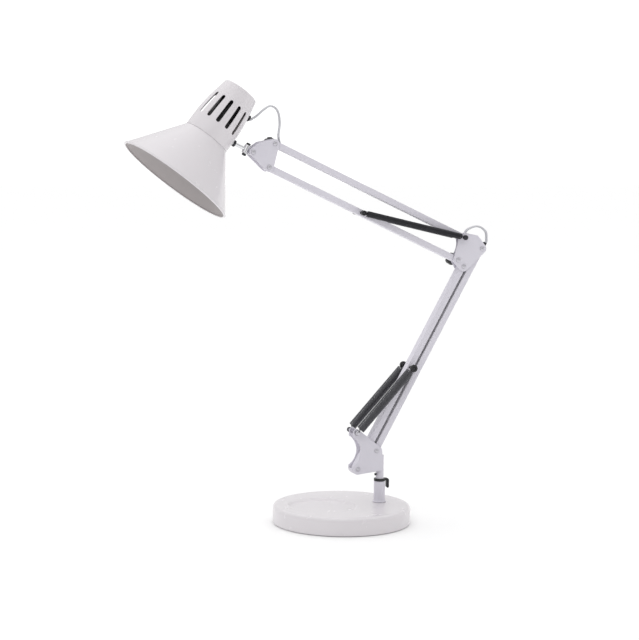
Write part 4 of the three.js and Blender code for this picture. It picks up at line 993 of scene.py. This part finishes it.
def neck_shell(sizes):
    """Bands of the neck below, beside and above the slots, its closed top, and a panel for each slot."""
    pitch, away_from_rod = SLOT_PITCH, SLOT_TURN
    low, high = PANEL_LOW, PANEL_HIGH
    side = sizes.slots_per_side
    shell, angles = Shell(), []
    for sign in (1, -1):
        for i in range(side):
            middle_angle = sign * (math.pi / 2 + away_from_rod + (i - (side - 1) / 2) * pitch)
            shell.join(slot_panel(middle_angle, pitch / 2, low, high, sizes))
            angles.append(middle_angle + np.linspace(-1, 1, 11) * pitch / 2)
    first = math.pi / 2 + away_from_rod - side * pitch / 2
    last = math.pi - first - side * pitch
    up = np.linspace(low, high, 17)
    for base, half, steps in ((0, first, 25), (math.pi, last, 7)):
        t = base + np.linspace(-1, 1, steps) * half
        angles.append(t)
        # The inside faces take the second finish, the painted shade.
        for inset, kind in ((0, 0), (sizes.shade_wall, 1)):
            shell.grid(on_neck(t[None], up[:, None], inset, sizes), wrap_columns=False, kind=kind)
    t = np.unique(np.round(np.mod(np.concatenate(angles), 2 * math.pi), 9))
    t = t[np.concatenate([[True], np.diff(t) > 1e-6])]
    top, edge, wall = sizes.neck_length, 2 * MM, sizes.shade_wall
    # The inside faces take the second finish, the painted shade.
    for inset, kind, lift in ((0, 0, 0), (wall, 1, wall)):
        below = np.linspace(0, low, 8)
        above = np.linspace(high, top - edge, 7)
        shell.grid(on_neck(t[None], below[:, None], inset, sizes), kind=kind)
        shell.grid(on_neck(t[None], above[:, None], inset, sizes), kind=kind)
        start = float(neck_at(top - edge, sizes)) - inset
        a = np.linspace(0, math.pi / 2, 8)
        r = np.concatenate([start - edge * (1 - np.cos(a)), np.linspace(start - edge, 0, 8)[1:]])
        h = np.concatenate([top - edge + (edge - lift) * np.sin(a), 0 * np.arange(7) + top - lift])
        rings = np.stack([r[:, None] * np.cos(t), r[:, None] * np.sin(t), h[:, None] + 0 * t], -1)
        shell.grid(rings, kind=kind)
    foot = np.stack([on_neck(t, 0 * t, inset, sizes) for inset in (0, wall)])
    return shell.grid(foot)


def cone_shell(sizes):
    """The cone's outside, its rolled rim as a small circle, its inside, and the collar that sits in the neck."""
    r0, r1, run, wall = sizes.neck_radius, sizes.rim_radius, sizes.cone_length, sizes.shade_wall
    bead = 1.5 * MM
    insert = r0 - wall - 0.3 * MM
    s = np.linspace(0, 1, 24)
    start, drop = r0 + 0.5 * MM, 1.1 * MM
    outside = np.stack([start + (r1 - bead - start) * s, -drop + (drop + 1.9 * bead - run) * s], -1)
    a = np.linspace(math.radians(115), math.radians(-150), 18)
    roll = np.stack([r1 - bead + bead * np.cos(a), -run + bead + bead * np.sin(a)], -1)
    inside = outside[::-1] + [-wall * 1.15, -0.7 * wall]
    high, inner = 6 * MM, insert - wall
    top = [(r0, -0.35 * MM), (insert, -0.3 * MM), (insert, high), (inner, high), (inner, -1.4 * MM)]
    shell = turned(np.concatenate([[top[0]], outside, roll]), 192)
    # The cone's inside takes the second finish, the painted shade.
    shell.join(turned(np.concatenate([[roll[-1]], inside, [top[4]]]), 192), 1)
    return shell.join(turned(top[::-1], 192), 0)


class LAMP_OT_shade(bpy.types.Operator):
    """Vented neck, cone, grommet and the lampholder inside them"""

    bl_idname = "lamp.shade"
    bl_label = "Shade"

    def execute(self, context):
        sizes = context.scene.lamp_sizes
        at, degrees = seam_centre(sizes), -math.degrees(sizes.shade_tilt)
        # The second finish is painted shade on the inside of the neck and cone.
        skins = ["gloss_white", "shade_inside_painted_shade"]
        make("vented_neck", neck_shell(sizes).placed(at, degrees), "shade", "gloss_white", ["shade_neck"], skins)
        make("cone", cone_shell(sizes).placed(at, degrees), "shade", "gloss_white", ["shade_cone"], skins)
        self.grommet(sizes, at, degrees)
        self.holder(sizes, at, degrees)
        return {"FINISHED"}

    def grommet(self, sizes, at, degrees):
        """A flanged bush along the radius of the neck: a waist in the wall and a bevelled head outside it."""
        height = GROMMET_HEIGHT
        face = float(neck_at(height, sizes))
        waist, head = 3.5 * MM, 4.5 * MM
        profile = [(0, face - 3 * MM), (waist, face - 3 * MM), (waist, face + 0.9 * MM), (head, face + 0.9 * MM)]
        profile += [(head, face + 2.4 * MM), (waist, face + 3.3 * MM), (0, face + 3.3 * MM)]
        shell = turned_along(rounded(profile, 0.5 * MM), 48)
        shell.moved(lambda p: p + [0, 0, height]).placed(at, degrees)
        make("neck_grommet", shell, "shade", "rubber", ["lead_grommet"])

    def holder(self, sizes, at, degrees):
        """The lampholder's cup and stem, its threaded ring with a ribbed edge, and the spring contact."""
        top = sizes.neck_length - sizes.shade_wall - 0.3 * MM
        shoulder = top - 8 * MM
        low, cup, outer = shoulder - 52 * MM, 14.6 * MM, 17 * MM
        floor = shoulder - 18 * MM
        profile = [(0, floor), (cup, floor), (cup, low), (outer, low), (outer, shoulder - 3 * MM)]
        profile += [(13 * MM, shoulder), (5 * MM, shoulder), (5 * MM, top), (0, top)]
        shell = turned(rounded(profile, 0.8 * MM), 96).placed(at, degrees)
        make("holder_cup", shell, "shade", "bakelite", ["lampholder"])
        bore, edge, start, end = 17.3 * MM, 20 * MM, low + 6 * MM, low + 15 * MM
        ring = rounded([(bore, start), (edge, start), (edge, end), (bore, end)], 0.7 * MM, 4, True)
        t = np.linspace(0, 2 * math.pi, 240, endpoint=False)
        rib = np.clip((ring[:, :1] - 18.6 * MM) / (1.4 * MM), 0, 1) * 0.35 * MM * (0.5 - 0.5 * np.cos(40 * t))
        r = ring[:, :1] - rib
        points = np.stack([r * np.cos(t), r * np.sin(t), ring[:, 1:] + 0 * t], -1)
        shell = Shell().grid(points, wrap_rows=True).placed(at, degrees)
        make("holder_ring", shell, "shade", "bakelite", ["lampholder_ring"])
        tip = floor - 0.3 * MM
        contact = rounded([(0, tip - 5 * MM), (4 * MM, tip - 4 * MM), (4 * MM, tip), (0, tip)], 0.8 * MM)
        shell = turned(contact, 48).placed(at, degrees)
        make("holder_contact", shell, "shade", "brass", ["lamp_contact"])


# ---------------------------------------------------------------- lead


def beside(pivot, along_way, along, out):
    """A point so far along a bar and so far out of its mouth."""
    mouth = np.array([along_way[1], -along_way[0]])
    return pivot + along_way * along + mouth * out


def lead_piece(name, path, body, nodes):
    make(name, ribbon(path, stadium(*LEAD)), body, "lead_grey", nodes)


class LAMP_OT_lead(bpy.types.Operator):
    """Flat lead in the arms, its two loops and its sleeves"""

    bl_idname = "lamp.lead"
    bl_label = "Lead"

    def execute(self, context):
        sizes = context.scene.lamp_sizes
        upper_end, lower_end = UPPER_LENGTH - 12 * MM, LOWER_LENGTH + 7 * MM + SLEEVE
        upper = [beside(ELBOW_UPPER, UPPER_WAY, a, UPPER_OUT) for a in np.linspace(4.5 * MM, upper_end, 40)]
        lower = [beside(FOOT_REAR, LOWER_WAY, a, LOWER_OUT) for a in np.linspace(29.3 * MM, lower_end, 40)]
        lead_piece("lead_in_upper_arm", upper, "upper_top", ["lead_upper_run"])
        lead_piece("lead_in_lower_arm", lower, "lower_rear", ["lead_lower_run"])
        sleeves = (
            ("sleeve_elbow", ELBOW_UPPER, UPPER_WAY, 4.5 * MM, UPPER_OUT, "upper_top", "lead_sleeve_elbow"),
            ("sleeve_head", ELBOW_UPPER, UPPER_WAY, upper_end - SLEEVE, UPPER_OUT, "upper_top", "lead_sleeve_head"),
            ("sleeve_lower", FOOT_REAR, LOWER_WAY, lower_end - SLEEVE, LOWER_OUT, "lower_rear", "lead_sleeve_lower"),
        )
        for name, pivot, along_way, start, out, body, node in sleeves:
            path = [beside(pivot, along_way, start + a, out) for a in np.linspace(0, SLEEVE, 9)]
            shell = ribbon(path, stadium(LEAD[0] + 1.6 * MM, LEAD[1] + 1.6 * MM))
            make(name, shell, body, "rubber", [node])
        self.elbow_loop(lower_end)
        self.head_loop(sizes, upper_end)
        return {"FINISHED"}

    def elbow_loop(self, lower_end):
        points = [beside(ELBOW_UPPER, UPPER_WAY, 4.6 * MM, UPPER_OUT)]
        points += [beside(ELBOW_UPPER, UPPER_WAY, -1.5 * MM, UPPER_OUT + 1.6 * MM)]
        points += [np.array(p) * MM for p in ELBOW_LOOP]
        points += [beside(FOOT_REAR, LOWER_WAY, lower_end + 3 * MM, LOWER_OUT + 0.5 * MM)]
        points += [beside(FOOT_REAR, LOWER_WAY, lower_end - 0.1 * MM, LOWER_OUT)]
        path = smooth_path(points, 121)
        self.pieces("elbow", path, [("upper_top", "elbow"), ("elbow", "lower_rear")], "lead_elbow_loop")

    def head_loop(self, sizes, upper_end):
        tilt = math.degrees(sizes.shade_tilt)
        height = GROMMET_HEIGHT
        face = float(neck_at(height, sizes)) + 3.2 * MM
        start = seam_centre(sizes) + way(90 - tilt) * height + way(-tilt) * face
        points = [start, start + way(-tilt) * 1.5 * MM] + [np.array(p) * MM for p in HEAD_LOOP]
        points += [beside(ELBOW_UPPER, UPPER_WAY, upper_end + 3 * MM, UPPER_OUT + 0.5 * MM)]
        points += [beside(ELBOW_UPPER, UPPER_WAY, upper_end - 0.1 * MM, UPPER_OUT)]
        path = smooth_path(points, 151)
        pairs = [("shade", "block"), ("block", "head"), ("head", "upper_top")]
        self.pieces("head", path, pairs, "lead_head_loop")

    def pieces(self, name, path, pairs, node):
        """One stretch of a loop for each joint that it crosses, each ending where the next begins."""
        cuts = np.linspace(0, len(path) - 1, len(pairs) + 1).astype(int)
        for i, (pair, first, last) in enumerate(zip(pairs, cuts, cuts[1:]), 1):
            stretch = path[first : last + 1]
            a, b = stretch[0], stretch[-1]
            body = (*pair, (a[0], 0, a[1]), (b[0], 0, b[1]))
            lead_piece(f"lead_{name}_loop_{i}", stretch, body, [node])


# ---------------------------------------------------------------- what stays from the frame


class LAMP_OT_kept(bpy.types.Operator):
    """Gives each part that shows as it is its own finish"""

    bl_idname = "lamp.kept"
    bl_label = "Kept parts"

    def execute(self, context):
        for entry in frame["record"]["subparts"]:
            mesh = frame["nodes"][entry["node"]].data
            mesh.materials.clear()
            mesh.materials.append(finish_of(entry["material_slot"]))
        return {"FINISHED"}


# ---------------------------------------------------------------- stage


class LAMP_OT_stage(bpy.types.Operator):
    """Camera, soft lights and a pale floor"""

    bl_idname = "lamp.stage"
    bl_label = "Stage"

    def execute(self, context):
        self.camera(context.scene)
        self.floor(context.scene)
        self.lights(context.scene)
        return {"FINISHED"}

    def camera(self, scene):
        heading, pitch, roll = math.radians(19.72), math.radians(6.28), math.radians(0.65)
        level = Vector((math.sin(heading), math.cos(heading), 0))
        ahead = level * math.cos(pitch) - Vector((0, 0, 1)) * math.sin(pitch)
        right = Vector((math.cos(heading), -math.sin(heading), 0))
        up = right.cross(ahead)
        rolled = right * math.cos(roll) + up * math.sin(roll)
        rolled_up = rolled.cross(ahead)
        turn = Matrix((rolled, rolled_up, -ahead)).transposed().to_4x4()
        data = bpy.data.cameras.new("camera")
        data.lens = 103.6
        data.sensor_width = 36
        data.clip_end = 20
        camera = bpy.data.objects.new("camera", data)
        scene.collection.objects.link(camera)
        camera.matrix_world = Matrix.Translation((-0.8748, -2.3423, 0.5553)) @ turn
        scene.camera = camera

    def floor(self, scene):
        mesh = bpy.data.meshes.new("floor")
        reach = 12.0
        corners = [(-reach, -reach, 0), (reach, -reach, 0), (reach, reach, 0), (-reach, reach, 0)]
        mesh.from_pydata(corners, [], [(0, 1, 2, 3)])
        g = Graph("floor")
        rgb = tuple(scene.lamp_colours.floor)
        tone = g.blend(g.noise(3.0), tint(rgb, 0.995), tint(rgb, 1.005))
        mesh.materials.append(g.shade(Base_Color=tone, Roughness=0.9))
        floor = bpy.data.objects.new("floor", mesh)
        scene.collection.objects.link(floor)

    def studio(self):
        """A lit backdrop at the horizon, dimmer walls above it and in front, and a bright ceiling."""
        world = bpy.data.worlds.new("studio")
        world.use_nodes = True
        nodes, links = world.node_tree.nodes, world.node_tree.links
        axes = nodes.new("ShaderNodeSeparateXYZ")
        links.new(nodes.new("ShaderNodeTexCoord").outputs["Generated"], axes.inputs[0])
        brightest, overall = 1.5, 1.17
        by_height = nodes.new("ShaderNodeValToRGB")
        ramp = by_height.color_ramp
        for at, level in ((0.09, 1.0), (0.14, 0.6), (0.5, 0.75), (1.0, brightest)):
            stop = ramp.elements.new(at)
            stop.color = (*[level / brightest] * 3, 1)
        ramp.elements.remove(ramp.elements[-1])
        ramp.elements[0].color = ramp.elements[1].color
        links.new(axes.outputs["Z"], by_height.inputs[0])
        by_side = nodes.new("ShaderNodeMapRange")
        for socket, value in (("From Min", -0.9), ("From Max", 0.3), ("To Min", 0.5), ("To Max", 1.0)):
            by_side.inputs[socket].default_value = value
        links.new(axes.outputs["Y"], by_side.inputs["Value"])
        both, scaled = nodes.new("ShaderNodeMath"), nodes.new("ShaderNodeMath")
        both.operation = scaled.operation = "MULTIPLY"
        links.new(by_height.outputs[0], both.inputs[0])
        links.new(by_side.outputs[0], both.inputs[1])
        links.new(both.outputs[0], scaled.inputs[0])
        scaled.inputs[1].default_value = brightest * overall
        links.new(scaled.outputs[0], nodes["Background"].inputs["Strength"])
        nodes["Background"].inputs["Color"].default_value = (1, 1, 1, 1)
        return world

    def lights(self, scene):
        scene.view_settings.view_transform = "Standard"
        scene.world = self.studio()
        setups = (
            ("key", (-1.5, -1.9, 2.0), 2.2, 9),
            ("fill", (1.8, -1.5, 1.2), 1.6, 2),
        )
        for name, place, size, power in setups:
            light = bpy.data.lights.new(name, "AREA")
            light.size = size
            light.energy = power
            lamp = bpy.data.objects.new(name, light)
            scene.collection.objects.link(lamp)
            lamp.location = place
            lamp.rotation_euler = (Vector((0, 0, 0.3)) - Vector(place)).to_track_quat("-Z", "Y").to_euler()


# ---------------------------------------------------------------- panel and registration

OPERATORS = (
    LAMP_OT_stage,
    LAMP_OT_kept,
    LAMP_OT_base,
    LAMP_OT_bracket,
    LAMP_OT_lower_arm,
    LAMP_OT_elbow,
    LAMP_OT_upper_arm,
    LAMP_OT_head,
    LAMP_OT_shade,
    LAMP_OT_lead,
)


class LAMP_PT_panel(bpy.types.Panel):
    """Lists the lamp's groups, sizes and colours"""

    bl_idname = "LAMP_PT_panel"
    bl_label = "Desk lamp"
    bl_space_type = "VIEW_3D"
    bl_region_type = "UI"
    bl_category = "Lamp"

    def draw(self, context):
        for operator in OPERATORS:
            self.layout.operator(operator.bl_idname)
        for group in (context.scene.lamp_sizes, context.scene.lamp_colours):
            for name in group.__annotations__:
                self.layout.prop(group, name)


CLASSES = (LampSizes, LampColours, *OPERATORS, LAMP_PT_panel)


def register():
    for cls in CLASSES:
        bpy.utils.register_class(cls)
    bpy.types.Scene.lamp_sizes = PointerProperty(type=LampSizes)
    bpy.types.Scene.lamp_colours = PointerProperty(type=LampColours)


def unregister():
    del bpy.types.Scene.lamp_colours
    del bpy.types.Scene.lamp_sizes
    for cls in reversed(CLASSES):
        bpy.utils.unregister_class(cls)


def main():
    register()
    for operator in OPERATORS:
        group, name = operator.bl_idname.split(".")
        getattr(getattr(bpy.ops, group), name)()


if __name__ == "__main__":
    main()
